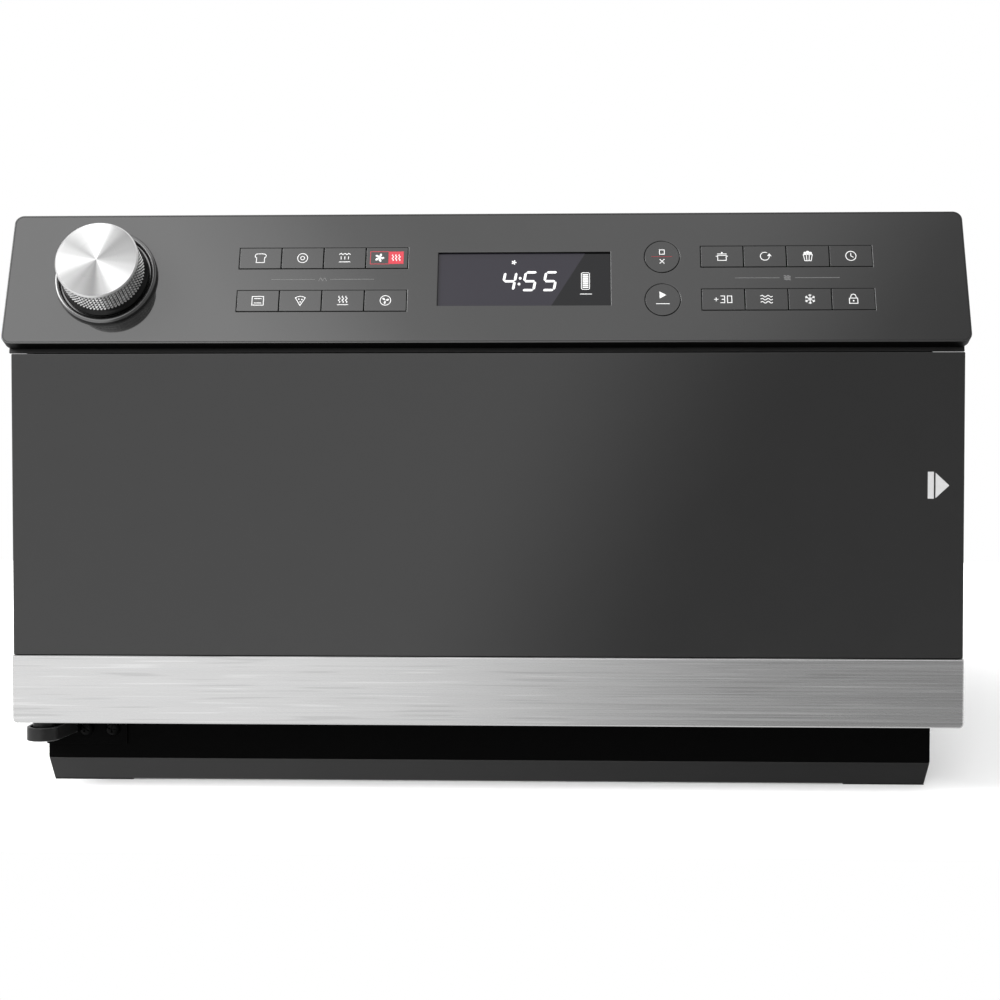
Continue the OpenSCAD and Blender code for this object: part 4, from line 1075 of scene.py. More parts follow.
def knurl_growth() -> Growth:
    """Returns the tree that covers a cylinder with small blunt pyramids in rows."""
    growth = Growth("knurl", Around="Int", Rows="Int", Radius="Float", Low="Float",
                    High="Float", Depth="Float", Fill="Float", Blunt="Float")
    w, s = growth.wiring, growth.source
    points, index, row = growth.grid("Around")
    turn = w.math("MULTIPLY", w.math("DIVIDE", index, s["Around"]), 2 * math.pi)
    pitch = w.math("DIVIDE", w.math("SUBTRACT", s["High"], s["Low"]), s["Rows"])
    place = w.vector(w.math("MULTIPLY", w.math("COSINE", turn), s["Radius"]),
                     w.math("MULTIPLY", w.math("SINE", turn), s["Radius"]),
                     w.math("MULTIPLY_ADD", w.math("ADD", row, 0.5), pitch, s["Low"]))
    half_diagonal = math.sqrt(2) / 2
    cone = w.result("GeometryNodeMeshCone", {
        "Vertices": 4, "Side Segments": 1, "Radius Bottom": half_diagonal,
        "Radius Top": w.math("MULTIPLY", s["Blunt"], half_diagonal), "Depth": s["Depth"]})
    stud = w.result("GeometryNodeTransform", {"Geometry": cone, "Rotation": (0, 0, math.pi / 4)})
    across = w.math("DIVIDE", w.math("MULTIPLY", s["Radius"], 2 * math.pi), s["Around"])
    size = w.vector(w.math("MULTIPLY", pitch, s["Fill"]), w.math("MULTIPLY", across, s["Fill"]),
                    1.0)
    return growth.end(growth.moved(points, place), stud, Scale=size,
                      Rotation=w.vector(0.0, math.pi / 2, turn))


def perforation_growth() -> Growth:
    """Returns the tree that tiles a sheet with hexagons, each with a round hole."""
    growth = Growth("perforation", Columns="Int", Rows="Int", Pitch="Float", Hole="Float",
                    Corner="Vector")
    w, s = growth.wiring, growth.source
    points, index, row = growth.grid("Columns")
    column = w.math("SUBTRACT", index, w.math("MULTIPLY", row, s["Columns"]))
    across = w.math("MULTIPLY_ADD", w.math("MODULO", row, 2.0), 0.5, column)
    rise = w.math("MULTIPLY", w.math("MULTIPLY", row, s["Pitch"]), ROW_RISE)
    place = w.combine("ADD", w.vector(w.math("MULTIPLY", across, s["Pitch"]), 0.0, rise),
                      s["Corner"])
    rim = w.result("GeometryNodeCurvePrimitiveCircle", {
        "Resolution": 6, "Radius": w.math("DIVIDE", s["Pitch"], math.sqrt(3))})
    both = w.add("GeometryNodeJoinGeometry")
    w.feed(both.inputs[0], w.result("GeometryNodeTransform", {
        "Geometry": rim, "Rotation": (0, 0, math.pi / 6)}))
    w.feed(both.inputs[0], w.result("GeometryNodeCurvePrimitiveCircle", {
        "Resolution": 12, "Radius": s["Hole"]}))
    tile = w.result("GeometryNodeFillCurve", {0: both.outputs[0]})
    return growth.end(growth.moved(points, place), tile, merge=2e-5,
                      Rotation=(-math.pi / 2, 0, 0))


def row_growth() -> Growth:
    """Returns the tree that repeats a flat shape in a straight row."""
    growth = Growth("bar_row", Shape="Object", Count="Int", Step="Vector")
    s = growth.source
    line = growth.wiring.result("GeometryNodeMeshLine", {"Count": s["Count"],
                                                         "Offset": s["Step"]})
    return growth.end(line, growth.shape())


def fastener_growth() -> Growth:
    """Returns the tree that puts one shape on each given point, turned at random."""
    growth = Growth("fasteners", Shape="Object", Turn="Float", Seed="Int", Axis="Vector")
    w, s = growth.wiring, growth.source
    spin = w.add("FunctionNodeRandomValue", {"Max": s["Turn"], "Seed": s["Seed"]},
                 data_type="FLOAT")
    about = w.add("ShaderNodeVectorMath", {0: s["Axis"]}, operation="SCALE")
    w.feed(about.inputs["Scale"], next(out for out in spin.outputs if out.enabled))
    return growth.end(s["Geometry"], growth.shape(), Rotation=about.outputs[0])


# ---------------------------------------------------------------- the control panel

@dataclass(frozen=True)
class PanelPlane:
    """The tilted face of the control panel: u to the right, v up the slope, w outwards."""

    origin: Vector
    up: Vector
    out: Vector

    @classmethod
    def from_frame(cls, dial_height: float) -> "PanelPlane":
        """Finds the plane from the dial's joint.

        Args:
            dial_height: Height of the joint's place above the panel's face, in metres.

        Returns:
            The plane, with u = 0 in the middle and v = 0 at the panel's lower edge.
        """
        joint = joint_of("dial_turn")
        out = Vector(joint["axis"]).normalized()
        up = Vector((0, out.z, -out.y))
        on_face = Vector(joint["pos_m"]) - out * dial_height
        low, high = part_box("control_panel")
        origin = on_face - up * ((on_face.y - low.y) / up.y)
        origin.x = (low.x + high.x) / 2
        return cls(origin, up, out)

    def place(self, u: float, v: float, w: float = 0.0) -> Matrix:
        """Returns the matrix that sets a flat sheet at a place given in millimetres."""
        point = self.origin + Vector((u * MM, 0, 0)) + self.up * v * MM + self.out * w * MM
        return Matrix((
            (1, self.up.x, self.out.x, point.x), (0, self.up.y, self.out.y, point.y),
            (0, self.up.z, self.out.z, point.z), (0, 0, 0, 1)))

    def flat(self, point: Vector) -> Vector:
        """Returns a point's u, v and w in millimetres."""
        away = (point - self.origin) / MM
        return Vector((away.x, away.dot(self.up), away.dot(self.out)))

    def corners_of(self, node: str) -> list[Vector]:
        """Returns the u, v and w of every corner of a CAD node, in millimetres."""
        return [self.flat(vert.co) for vert in frame["nodes"][node].data.vertices]

    def face_of(self, node: str) -> tuple[Vector, Vector]:
        """Returns the lowest and highest u, v and w of a CAD node, in millimetres."""
        return extent(self.corners_of(node))


class Draw(Enum):
    """Ways that one stroke of a key's mark is drawn."""

    PATH = "path"
    LOOP = "loop"
    FILL = "fill"
    RING = "ring"
    DISC = "disc"


PATH, LOOP, FILL, RING, DISC = Draw


def wave(x: float, low: float, high: float, sway: float = 0.45) -> list[Point]:
    """Returns an upright wavy line at x, from its lower to its higher end."""
    return [(x + sway * math.sin(4 * math.pi * i / 16), low + (high - low) * i / 16)
            for i in range(17)]


def turned_line(points: Sequence[Point], angle: float) -> list[Point]:
    """Returns points turned about the origin by an angle in degrees."""
    c, s = math.cos(math.radians(angle)), math.sin(math.radians(angle))
    return [(x * c - y * s, x * s + y * c) for x, y in points]


def blade(angle: float, reach: float = 2.3, width: float = 0.75) -> list[Point]:
    """Returns the outline of a fan blade from its direction, length and half width."""
    return turned_line([(0.35, -0.2), (reach * 0.6, -width), (reach, -width * 0.35),
                        (reach * 0.9, width * 0.5), (reach * 0.5, width * 0.55),
                        (0.35, 0.3)], angle)


def post(x: float, low: float, high: float) -> tuple[Draw, list[Point]]:
    """Returns the stroke of an upright line."""
    return (PATH, [(x, low), (x, high)])


def beam(y: float, left: float, right: float) -> tuple[Draw, list[Point]]:
    """Returns the stroke of a level line."""
    return (PATH, [(left, y), (right, y)])


def box(left: float, low: float, right: float, high: float) -> list[Point]:
    """Returns the corners of a rectangle, in order."""
    return [(left, low), (right, low), (right, high), (left, high)]


FAN = [(FILL, blade(a)) for a in range(0, 360, 72)] + [(DISC, (0, 0, 0.5))]
KEY_MARKS: dict[str, list[tuple[Draw, Sequence]]] = {
    "toast_key": [(LOOP, [(-2.2, -2.6), (2.2, -2.6), (2.2, 0.3), (2.9, 0.9), (3.0, 1.8),
                          (2.4, 2.5), (1.2, 2.7), (-1.2, 2.7), (-2.4, 2.5), (-3.0, 1.8),
                          (-2.9, 0.9), (-2.2, 0.3)])],
    "bagel_key": [(RING, (0, 0, 2.75)), (RING, (0, 0, 1.05))],
    "broil_key": [(PATH, [(-3.1, 2.0), (-2.1, 2.8), (-1.1, 2.0), (0, 2.8), (1.1, 2.0),
                          (2.1, 2.8), (3.1, 2.0)]),
                  *(post(x, 1.0, -0.9) for x in (-2, 0, 2)), beam(-2.4, -3.1, 3.1)],
    "air_fry_key": [],
    "bake_key": [(LOOP, box(-3.1, -2.6, 3.1, 2.6)), beam(1.3, -2, 2), beam(-1.3, -2, 2)],
    "pizza_key": [(LOOP, [(-2.7, 1.7), (-1.4, 2.4), (0, 2.65), (1.4, 2.4), (2.7, 1.7),
                          (0, -2.9)]),
                  *((DISC, (x, y, 0.42)) for x, y in ((-0.8, 0.9), (0.95, 0.7), (0.05, -0.75)))],
    "warm_key": [*((PATH, wave(x, -1.3, 2.7)) for x in (-1.9, 0, 1.9)), beam(-2.5, -3, 3)],
    "convection_key": [(RING, (0, 0, 2.85)), *((FILL, blade(a, 2.1, 0.7))
                                               for a in (20, 140, 260))],
    "stop_key": [(LOOP, box(-1.3, 1.5, 1.3, 4.1)), (PATH, [(-1.3, -1.5), (1.3, -4.1)]),
                 (PATH, [(-1.3, -4.1), (1.3, -1.5)])],
    "start_key": [(FILL, [(-1.7, 0.6), (1.9, 2.7), (-1.7, 4.8)]), beam(-2.5, -3.6, 3.6)],
    "auto_cook_key": [(LOOP, box(-2.3, -2.4, 2.3, 0.6)), beam(0.1, -3.3, -2.3),
                      beam(0.1, 2.3, 3.3), beam(1.5, -2.6, 2.6), (DISC, (0, 2.25, 0.45))],
    "reheat_key": [(PATH, [polar(2.4, a) for a in range(60, 361, 15)]),
                   (FILL, [(1.2, 0.1), (3.6, 0.1), (2.4, 1.7)])],
    "popcorn_key": [(LOOP, [(-1.7, -2.8), (1.7, -2.8), (2.4, 0.9), (-2.4, 0.9)]),
                    (PATH, [(-0.6, -2.8), (-0.8, 0.9)]), (PATH, [(0.6, -2.8), (0.8, 0.9)]),
                    (DISC, (-1.5, 1.75, 0.8)), (DISC, (0, 2.2, 0.95)), (DISC, (1.5, 1.75, 0.8))],
    "clock_key": [(RING, (0, 0, 2.75)), (PATH, [(0, 1.8), (0, 0), (1.4, -0.9)])],
    "add_30_key": [beam(0, -4.9, -2.7), post(-3.8, -1.1, 1.1),
                   (PATH, [(-1.6, 2), (0.7, 2), (0.7, 0), (-0.9, 0)]),
                   (PATH, [(0.7, 0), (0.7, -2), (-1.6, -2)]),
                   (LOOP, [(2.2, 2), (4.5, 2), (4.5, -2), (2.2, -2)])],
    "microwave_key": [(PATH, [(y, x) for x, y in wave(height, -3.2, 3.2, 0.5)])
                      for height in (-1.8, 0.0, 1.8)],
    "defrost_key": [(PATH, turned_line(line, a)) for a in range(0, 360, 60)
                    for line in ([(0, 0), (0, 2.9)], [(-0.75, 2.5), (0, 1.8), (0.75, 2.5)])],
    "lock_key": [(LOOP, box(-2.2, -2.6, 2.2, 0.5)),
                 (PATH, [(-1.4, 0.5), (-1.4, 1.5), (-1.0, 2.5), (0, 2.9), (1.0, 2.5),
                         (1.4, 1.5), (1.4, 0.5)]), (DISC, (0, -1.05, 0.45))],
}


def draw_mark(ink: Ink, strokes: Iterable[tuple[Draw, Sequence]], width: float,
              size: float = 1.0, shift: Point = (0.0, 0.0)) -> None:
    """Draws a key's mark.

    Args:
        ink: The sheet to draw on.
        strokes: The mark's strokes.
        width: Width of its lines in millimetres.
        size: How much larger it is drawn.
        shift: How far it is moved, in millimetres.
    """
    def at(point: Point) -> Point:
        """Returns a point at its size and place."""
        return (point[0] * size + shift[0], point[1] * size + shift[1])
    for kind, data in strokes:
        if kind is RING:
            ink.ring(*at(data[:2]), data[2] * size, width)
        elif kind is DISC:
            ink.disc(*at(data[:2]), data[2] * size)
        elif kind is FILL:
            ink.fill([at(p) for p in data])
        else:
            ink.line([at(p) for p in data], width, closed=kind is LOOP)


@dataclass
class ControlPanel:
    """The tilted panel with its keys, their marks and the housing behind it."""

    plane: PanelPlane
    line: float = 0.42
    edge_line: float = 0.45
    edge_inset: float = 0.9
    edge_radius: float = 4.2
    stop_line: float = 0.28
    stop_reach: float = 5.6
    tag_line: float = 0.3
    rule_line: float = 0.32
    rule: Point = (4.2, 28.0)

    def build(self) -> None:
        """Builds the panel, the housing and the keys."""
        panel = soften_piece("control_panel", 0.0004, PANEL_GLOSS, "panel_gloss", 3)
        # the panel's side walls take painted shade
        repaint(panel, PANEL_SIDE_SHADE, lambda face: face.normal.dot(self.plane.out) < 0.5)
        soften_piece("console_housing", 0.0006, HOUSING_PLASTIC, "black_plastic")
        dress("control_board", BOARD)
        self.outline()
        for node in KEY_MARKS:
            self.key(node)
        self.captions()

    def outline(self) -> None:
        """Draws a dark line inside the panel's edge, from its upper right corner: painted bevel
        shade.
        """
        low, high = self.plane.face_of("control_panel")
        inset = self.edge_inset + self.edge_radius
        left, right, foot, top = low.x + inset, high.x - inset, low.y + inset, high.y - inset
        points = [polar(self.edge_radius, start + a, x, y)
                  for x, y, start in ((right, top, 0), (left, top, 90), (left, foot, 180),
                                      (right, foot, 270)) for a in range(0, 91, 15)]
        ink = Ink(self.plane.place(0, 0), 0.02)
        ink.line(points, self.edge_line, closed=True)
        ink.piece("panel_edge_line", "oven_body", PAINTED_EDGE_SHADE, "panel_gloss")

    def key(self, node: str) -> None:
        """Builds one key with its mark.

        Args:
            node: Name of the key's CAD node.
        """
        soften_piece(node, 0.00018, KEY_GLOSS, "key_black")
        spots = self.plane.corners_of(node)
        front = max(spot.z for spot in spots)
        low, high = extent(spot for spot in spots if spot.z > front - 0.05)
        place = self.plane.place((low.x + high.x) / 2, (low.y + high.y) / 2, front)
        if node == "air_fry_key":
            self.tag(node, place)
            return
        ink = Ink(place)
        draw_mark(ink, KEY_MARKS[node], self.line)
        ink.piece(node + "_mark", node, WHITE_INK, "key_black")
        if node == "stop_key":
            red = Ink(place)
            red.line([(-self.stop_reach, 0), (self.stop_reach, 0)], self.stop_line)
            red.piece("stop_key_line", node, DULL_RED_INK, "key_black")

    def tag(self, node: str, place: Matrix) -> None:
        """Draws the red tag of the hot-air key: an outlined half and a filled half.

        Args:
            node: Name of the key's CAD node.
            place: Matrix of the middle of its face.
        """
        half_w, half_h, middle = 9.05, 3.75, 0.9
        red = Ink(place)
        red.line(box(-half_w, -half_h, middle, half_h), self.tag_line, closed=True)
        red.fill(box(middle, -half_h, half_w, half_h))
        red.piece(node + "_tag", node, RED_INK, "key_black")
        ink = Ink(place, 0.09)
        draw_mark(ink, FAN, self.line, 1.15, (-4.1, 0.0))
        draw_mark(ink, [(PATH, wave(x, -1.9, 1.9, 0.4)) for x in (3.2, 5.0, 6.8)], self.line)
        ink.piece(node + "_mark", node, WHITE_INK, "key_black")

    def captions(self) -> None:
        """Draws a dim rule with a small sign between the two rows of each key group."""
        zigzag = [(PATH, [(-2.2, -1), (-1.1, 1), (0, -1), (1.1, 1), (2.2, -1)])]
        for side, first, last, sign, width, size in (
                ("left", "toast_key", "convection_key", zigzag, 0.36, 1.0),
                ("right", "auto_cook_key", "lock_key", KEY_MARKS["microwave_key"], 0.6, 0.55)):
            low, high = self.plane.face_of(first), self.plane.face_of(last)
            ink = Ink(self.plane.place((low[0].x + high[1].x) / 2, (low[0].y + high[1].y) / 2),
                      0.03)
            for way in (-1, 1):
                ink.line([(way * x, 0) for x in self.rule], self.rule_line)
            draw_mark(ink, sign, width, size)
            ink.piece(f"caption_{side}", "oven_body", CAPTION_INK, "panel_gloss")


@dataclass
class Display:
    """The clock window with its lit marks; all places are millimetres on the panel."""

    plane: PanelPlane
    lean: float = math.tan(math.radians(10))
    digit_w: float = 7.35
    digit_h: float = 12.0
    thick: float = 1.35
    gap: float = 0.2
    foot_v: float = 31.0
    digits: tuple[tuple[str, float], ...] = (("4", 9.6), ("5", 20.7), ("5", 31.7))
    colon_u: float = 18.9
    colon_r: float = 0.75
    colon_rise: Point = (0.36, 0.65)
    fan_at: Point = (16.8, 48.4)
    rule: tuple[Point, ...] = ((52.6, 29.2), (59.0, 29.2))
    level: tuple[Point, ...] = ((53.9, 32.0), (57.3, 32.0), (57.8, 32.5), (57.8, 41.5),
                                (57.3, 42.0), (53.9, 42.0), (53.4, 41.5), (53.4, 32.5))
    bars_at: Point = (55.6, 33.25)
    bar_count: int = 7
    bar_step: float = 1.25

    SEGMENTS = {"4": "bcfg", "5": "acdfg"}

    def build(self) -> None:
        """Builds the window and what it shows."""
        soften_piece("display_lens", 0.0001, LENS_PAINTED_GLARE, "lens_smoke")
        self.face = self.plane.face_of("display_lens")[1].z + 0.01
        ink = Ink(self.plane.place(0, 0, self.face), 0.03)
        for digit, u in self.digits:
            self.digit(ink, digit, u)
        for rise in (share * self.digit_h for share in self.colon_rise):
            ink.disc(self.colon_u + self.lean * rise, self.foot_v + rise, self.colon_r)
        ink.line(self.level, 0.3, closed=True)
        draw_mark(ink, FAN, 0.3, 0.62, self.fan_at)
        ink.line(self.rule, 0.35)
        ink.piece("display_marks", "oven_body", LIT_WHITE, "lens_smoke")
        self.bars()

    def digit(self, ink: Ink, digit: str, u: float) -> None:
        """Draws one leaning seven-segment digit.

        Args:
            ink: The sheet to draw on.
            digit: The digit.
            u: Its lower left corner.
        """
        def bar(x0: float, y0: float, x1: float, y1: float) -> list[Point]:
            """Returns a segment with pointed ends."""
            along = Vector((x1 - x0, y1 - y0)).normalized()
            side, tip = Vector((-along.y, along.x)) * self.thick / 2, along * self.thick / 2
            a, b = Vector((x0, y0)) + along * self.gap, Vector((x1, y1)) - along * self.gap
            return [tuple(p) for p in (a, a + tip + side, b - tip + side, b, b - tip - side,
                                       a + tip - side)]
        left = low = self.thick / 2
        right, half, high = self.digit_w - left, self.digit_h / 2, self.digit_h - low
        places = {"a": (left, high, right, high), "b": (right, half, right, high),
                  "c": (right, low, right, half), "d": (left, low, right, low),
                  "f": (left, half, left, high), "g": (left, half, right, half)}
        for name in self.SEGMENTS[digit]:
            ink.fill([(u + x + self.lean * y, self.foot_v + y) for x, y in bar(*places[name])])

    def bars(self) -> None:
        """Repeats the level bars inside their outline."""
        shape = Ink(Matrix.Identity(4), 0.03)
        shape.fill(box(-1.55, -0.38, 1.55, 0.38))
        one = bpy.data.objects.new("level_bar", shape.mesh("level_bar"))
        mesh = row_growth().mesh(LIT_WHITE, Shape=one, Count=self.bar_count,
                                 Step=Vector((0, self.bar_step * MM, 0)))
        mesh.transform(self.plane.place(*self.bars_at, self.face))
        add_piece("display_bars", mesh, "oven_body", LIT_WHITE, "lens_smoke")
        bpy.data.objects.remove(one)


@dataclass
class Dial:
    """The knurled knob, its spun cap, its trim ring and its shaft, in millimetres."""

    plane: PanelPlane
    height: float = 22.2
    cap_t: float = 2.0
    cap_r: float = 22.45
    flange_r: float = 24.0
    ring_r: float = 28.1
    band_low: float = 5.0
    knurl_r: float = 21.6
    knurl_depth: float = 0.75
    knurl_fill: float = 0.88
    knurl_blunt: float = 0.3
    around: int = 70
    rows: int = 6
    steps: int = 192

    def build(self) -> None:
        """Builds the ring, the knob, the knurling, the cap and the shaft."""
        spot = self.plane.flat(Vector(joint_of("dial_turn")["pos_m"]))
        self.place = self.plane.place(spot.x, spot.y)
        self.ring()
        self.knob()
        self.cap()
        soften_piece("encoder_shaft", 0.0002, SHAFT_STEEL, "zinc_steel")

    def turn(self, node: str, profile: Sequence[Point], finish: Finish, slot: str,
             sharp: float = 30.0) -> None:
        """Replaces a CAD node by a piece turned from a profile, with what turned takes."""
        name = node + "_look"
        add_piece(name, turned(name, profile, self.steps, self.place, sharp), body_of(node),
                  finish, slot, [node])

    def ring(self) -> None:
        """Turns the half-round trim ring on the panel."""
        well, seat, bore, rise = self.flange_r + 0.8, 1.2, 4.8, 1.8
        middle, rim = (well + self.ring_r) / 2, (self.ring_r - well) / 2
        bow = [polar(rim, a, middle, rise) for a in range(0, 181, 12)]
        self.turn("dial_ring", [(bore, 0.0), (self.ring_r, 0.0), *bow, (well, seat),
                                (bore, seat), (bore, 0.0)], RING_GLOSS, "black_plastic")

    def knob(self) -> None:
        """Turns the knob and covers its band with pyramids."""
        top, foot, base = self.height - self.cap_t, 1.5, self.knurl_r - 0.02
        flange = [(3.2, foot), (self.flange_r, foot), (self.flange_r, 3.3),
                  (self.flange_r - 0.5, 3.8), (base + 0.6, self.band_low - 0.6),
                  (base, self.band_low)]
        self.turn("dial_knob", rounded(flange, 0.5) + [(base, top), (0.0, top)], FLANGE_CHROME,
                  "dark_chrome")
        mesh = knurl_growth().mesh(
            KNURL_CHROME, Around=self.around, Rows=self.rows, Radius=self.knurl_r * MM,
            Low=self.band_low * MM, High=(top - 0.1) * MM, Depth=self.knurl_depth * MM,
            Fill=self.knurl_fill, Blunt=self.knurl_blunt)
        mesh.transform(self.place)
        add_piece("dial_knurling", mesh, "dial", KNURL_CHROME, "dark_chrome")

    def cap(self) -> None:
        """Turns the spun cap with its bright chamfer and its faintly domed face."""
        low, dome = self.height - self.cap_t, 0.04
        rim = [(self.cap_r - 0.6, low), (self.cap_r, low + 0.6),
               (self.cap_r, self.height - 0.85), (self.cap_r - 0.75, self.height - dome)]
        face = [(r, self.height - dome * (r / self.cap_r) ** 2)
                for r in (21.6, 18, 14, 10, 6, 3, 1, 0)]
        self.turn("dial_cap", [(0.0, low), *rounded(rim, 0.12, 4), *face], CAP_SPUN,
                  "spun_aluminium", 20.0)


# ---------------------------------------------------------------- door, cabinet, inside

@dataclass
class Door:
    """The door with its glass, steel strip, window screen and latch."""

    screen_pitch: float = 4.0
    screen_hole: float = 1.35
    screen_margin: float = 12.0
    screen_gap: float = 1.2
    mark_bar: Span = (237.0, 161.7, 240.2, 176.0)
    mark_arrow: tuple[Point, ...] = ((241.1, 162.0), (248.3, 168.7), (241.1, 175.5))

    def build(self) -> None:
        """Builds the door from front to back."""
        soften_all((
            ("door_glass", 0.0005, DOOR_GLASS, "dark_glass", 3),
            ("door_trim", 0.0007, STRIP_STEEL, "brushed_strip", 1),
            ("door_frame", 0.0005, DOOR_PLASTIC, "black_plastic"),
            ("door_choke_panel", 0.0006, CHOKE_PAINT, "frame_black"),
            ("door_inner_glass", 0.0004, CLEAR_GLASS, "clear_glass"),
            ("door_latch", 0.0003, BLACK_PLASTIC, "black_plastic")))
        self.open_mark()
        self.screen()

    def open_mark(self) -> None:
        """Prints the bar and arrow that show the side to pull."""
        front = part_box("door_glass")[0].y
        ink = Ink(Matrix.Translation((0, front, 0)) @ Matrix.Rotation(math.pi / 2, 4, "X"), 0.04)
        ink.fill(box(*self.mark_bar))
        ink.fill(self.mark_arrow)
        ink.piece("door_open_mark", "door", SOFT_INK, "dark_glass")

    def screen(self) -> None:
        """Tiles the perforated screen behind the inner glass."""
        low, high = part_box("door_inner_glass")
        pitch, margin = self.screen_pitch * MM, self.screen_margin * MM
        columns = int((high.x - low.x - margin) / pitch)
        rows = int((high.z - low.z - margin) / (pitch * ROW_RISE))
        corner = Vector(((low.x + high.x - (columns + 0.5) * pitch + pitch) / 2,
                         low.y - self.screen_gap * MM,
                         (low.z + high.z - rows * pitch * ROW_RISE + pitch) / 2))
        mesh = perforation_growth().mesh(CHOKE_PAINT, Columns=columns, Rows=rows, Pitch=pitch,
                                         Hole=self.screen_hole * MM, Corner=corner)
        add_piece("door_window_screen", mesh, "door", CHOKE_PAINT, "frame_black")


@dataclass
class Cabinet:
    """The outer sheets, the base, the feet, the hinges and the fasteners."""

    head_r: float = 4.0
    head_h: float = 2.4
    head_steps: int = 16
    head_sharp: float = 35.0
    flat_r: float = 2.7
    turn: float = 1.4
    seed: int = 7
    cross_arm: float = 2.2
    cross_half: float = 0.5
    cross_deep: float = 1.1
    hinge_plate: float = 3.5

    def build(self) -> None:
        """Builds the outside from the bottom up."""
        made = soften_all((
            ("base_pan", 0.0004, SKIRT_PAINT, "black_steel"),
            ("feet", 0.0005, FOOT_RUBBER, "foot_rubber"),
            ("cabinet_wrap", 0.0003, BLACK_PAINT, "black_steel"),
            ("rear_panel", 0.0003, BLACK_PAINT, "black_steel"),
            ("front_frame", 0.0004, UNDER_DOOR_SHADE_PAINT, "frame_black"),
            ("hinge_brackets", 0.0003, BRACKET_PAINT, "black_steel"),
            ("cord_gland", 0.0004, BLACK_PLASTIC, "black_plastic")))
        # the frame below the door foot keeps the near-black paint as painted shade; above it takes
        # its satin paint
        door_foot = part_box("door_frame")[0].z
        split(made["front_frame"], door_foot)
        repaint(made["front_frame"], SATIN_FRAME, lambda face: face.center.z > door_foot)
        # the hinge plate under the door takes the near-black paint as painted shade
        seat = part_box("hinge_brackets")[1].y - self.hinge_plate * MM
        repaint(made["hinge_brackets"], UNDER_DOOR_SHADE_PAINT, lambda face: face.center.y > seat)
        self.fasteners()

    def head(self) -> bpy.types.Object:
        """Makes one pan head with a cross recess, its axis along Z and its seat at 0."""
        bm = bmesh.new()
        radius, height, arm, half = self.head_r, self.head_h, self.cross_arm, self.cross_half
        cross = [(arm, -half), (arm, half), (half, half), (half, arm), (-half, arm),
                 (-half, half), (-arm, half), (-arm, -half), (-half, -half), (-half, -arm),
                 (half, -arm), (half, -half)]

        def outline(size: float, level: float) -> list[bmesh.types.BMVert]:
            """Adds the corners of the cross at a size and a height."""
            return [bm.verts.new((x * MM * size, y * MM * size, level * MM)) for x, y in cross]
        dome = [ring_of(bm, r, z, self.head_steps) for r, z in (
            (radius, 0.0), (radius, height * 0.45), (radius * 0.86, height * 0.8),
            (self.flat_r, height))]
        top, floor = outline(1.0, height), outline(0.7, height - self.cross_deep)
        edges: list[bmesh.types.BMEdge] = []
        for low, high in (*zip(dome, dome[1:]), (top, floor)):
            for quad in zip(low, low[1:] + low[:1], high[1:] + high[:1], high):
                bm.faces.new(quad)
        for loop in (dome[-1], top):
            edges += [bm.edges.get(pair) for pair in zip(loop, loop[1:] + loop[:1])]
        bm.faces.new(floor)
        bmesh.ops.triangle_fill(bm, use_beauty=True, edges=edges)
        bmesh.ops.recalc_face_normals(bm, faces=bm.faces)
        return bpy.data.objects.new("pan_head", shaded(mesh_of(bm, "pan_head"), self.head_sharp))

    def fasteners(self) -> None:
        """Puts a head on each screw of the back and of the hinges."""
        spots = self.screw_spots()
        shape = self.head()
        growth = fastener_growth()
        for side, sign, finish, replaces in (("back", 1, ZINC_STEEL, ["screws"]),
                                             ("hinge", -1, SCREW_BLACK, [])):
            turn = Matrix.Rotation(math.radians(-90 * sign), 4, "X")
            shape.data.transform(turn)
            mesh = growth.mesh(finish, [spot for spot, way in spots if way == sign],
                               Shape=shape, Turn=self.turn, Seed=self.seed,
                               Axis=Vector((0, 1, 0)))
            shape.data.transform(turn.inverted())
            add_piece(f"screw_heads_{side}", shaded(mesh, self.head_sharp), body_of("screws"),
                      finish, "zinc_steel", replaces)
        bpy.data.objects.remove(shape)

    def screw_spots(self) -> list[tuple[Vector, int]]:
        """Finds the screws in their CAD node.

        Returns:
            The seat of each head, from left to right, with 1 for a head that faces backwards
            or -1 for forwards.
        """
        bm = bmesh.new()
        bm.from_mesh(frame["nodes"]["screws"].data)
        bmesh.ops.remove_doubles(bm, verts=bm.verts, dist=1e-6)
        left, spots = set(bm.verts), []
        while left:
            stack, part = [left.pop()], []
            while stack:
                vert = stack.pop()
                part.append(vert.co.copy())
                for edge in vert.link_edges:
                    other = edge.other_vert(vert)
                    if other in left:
                        left.remove(other)
                        stack.append(other)
            low, high = extent(part)
            if high.x - low.x < self.head_r * MM:
                continue
            sign = 1 if low.y > 0 else -1
            seat = (high.y if sign > 0 else low.y) - sign * self.head_h * MM
            spots.append((Vector(((low.x + high.x) / 2, seat, (low.z + high.z) / 2)), sign))
        bm.free()
        return sorted(spots, key=lambda spot: tuple(spot[0]))


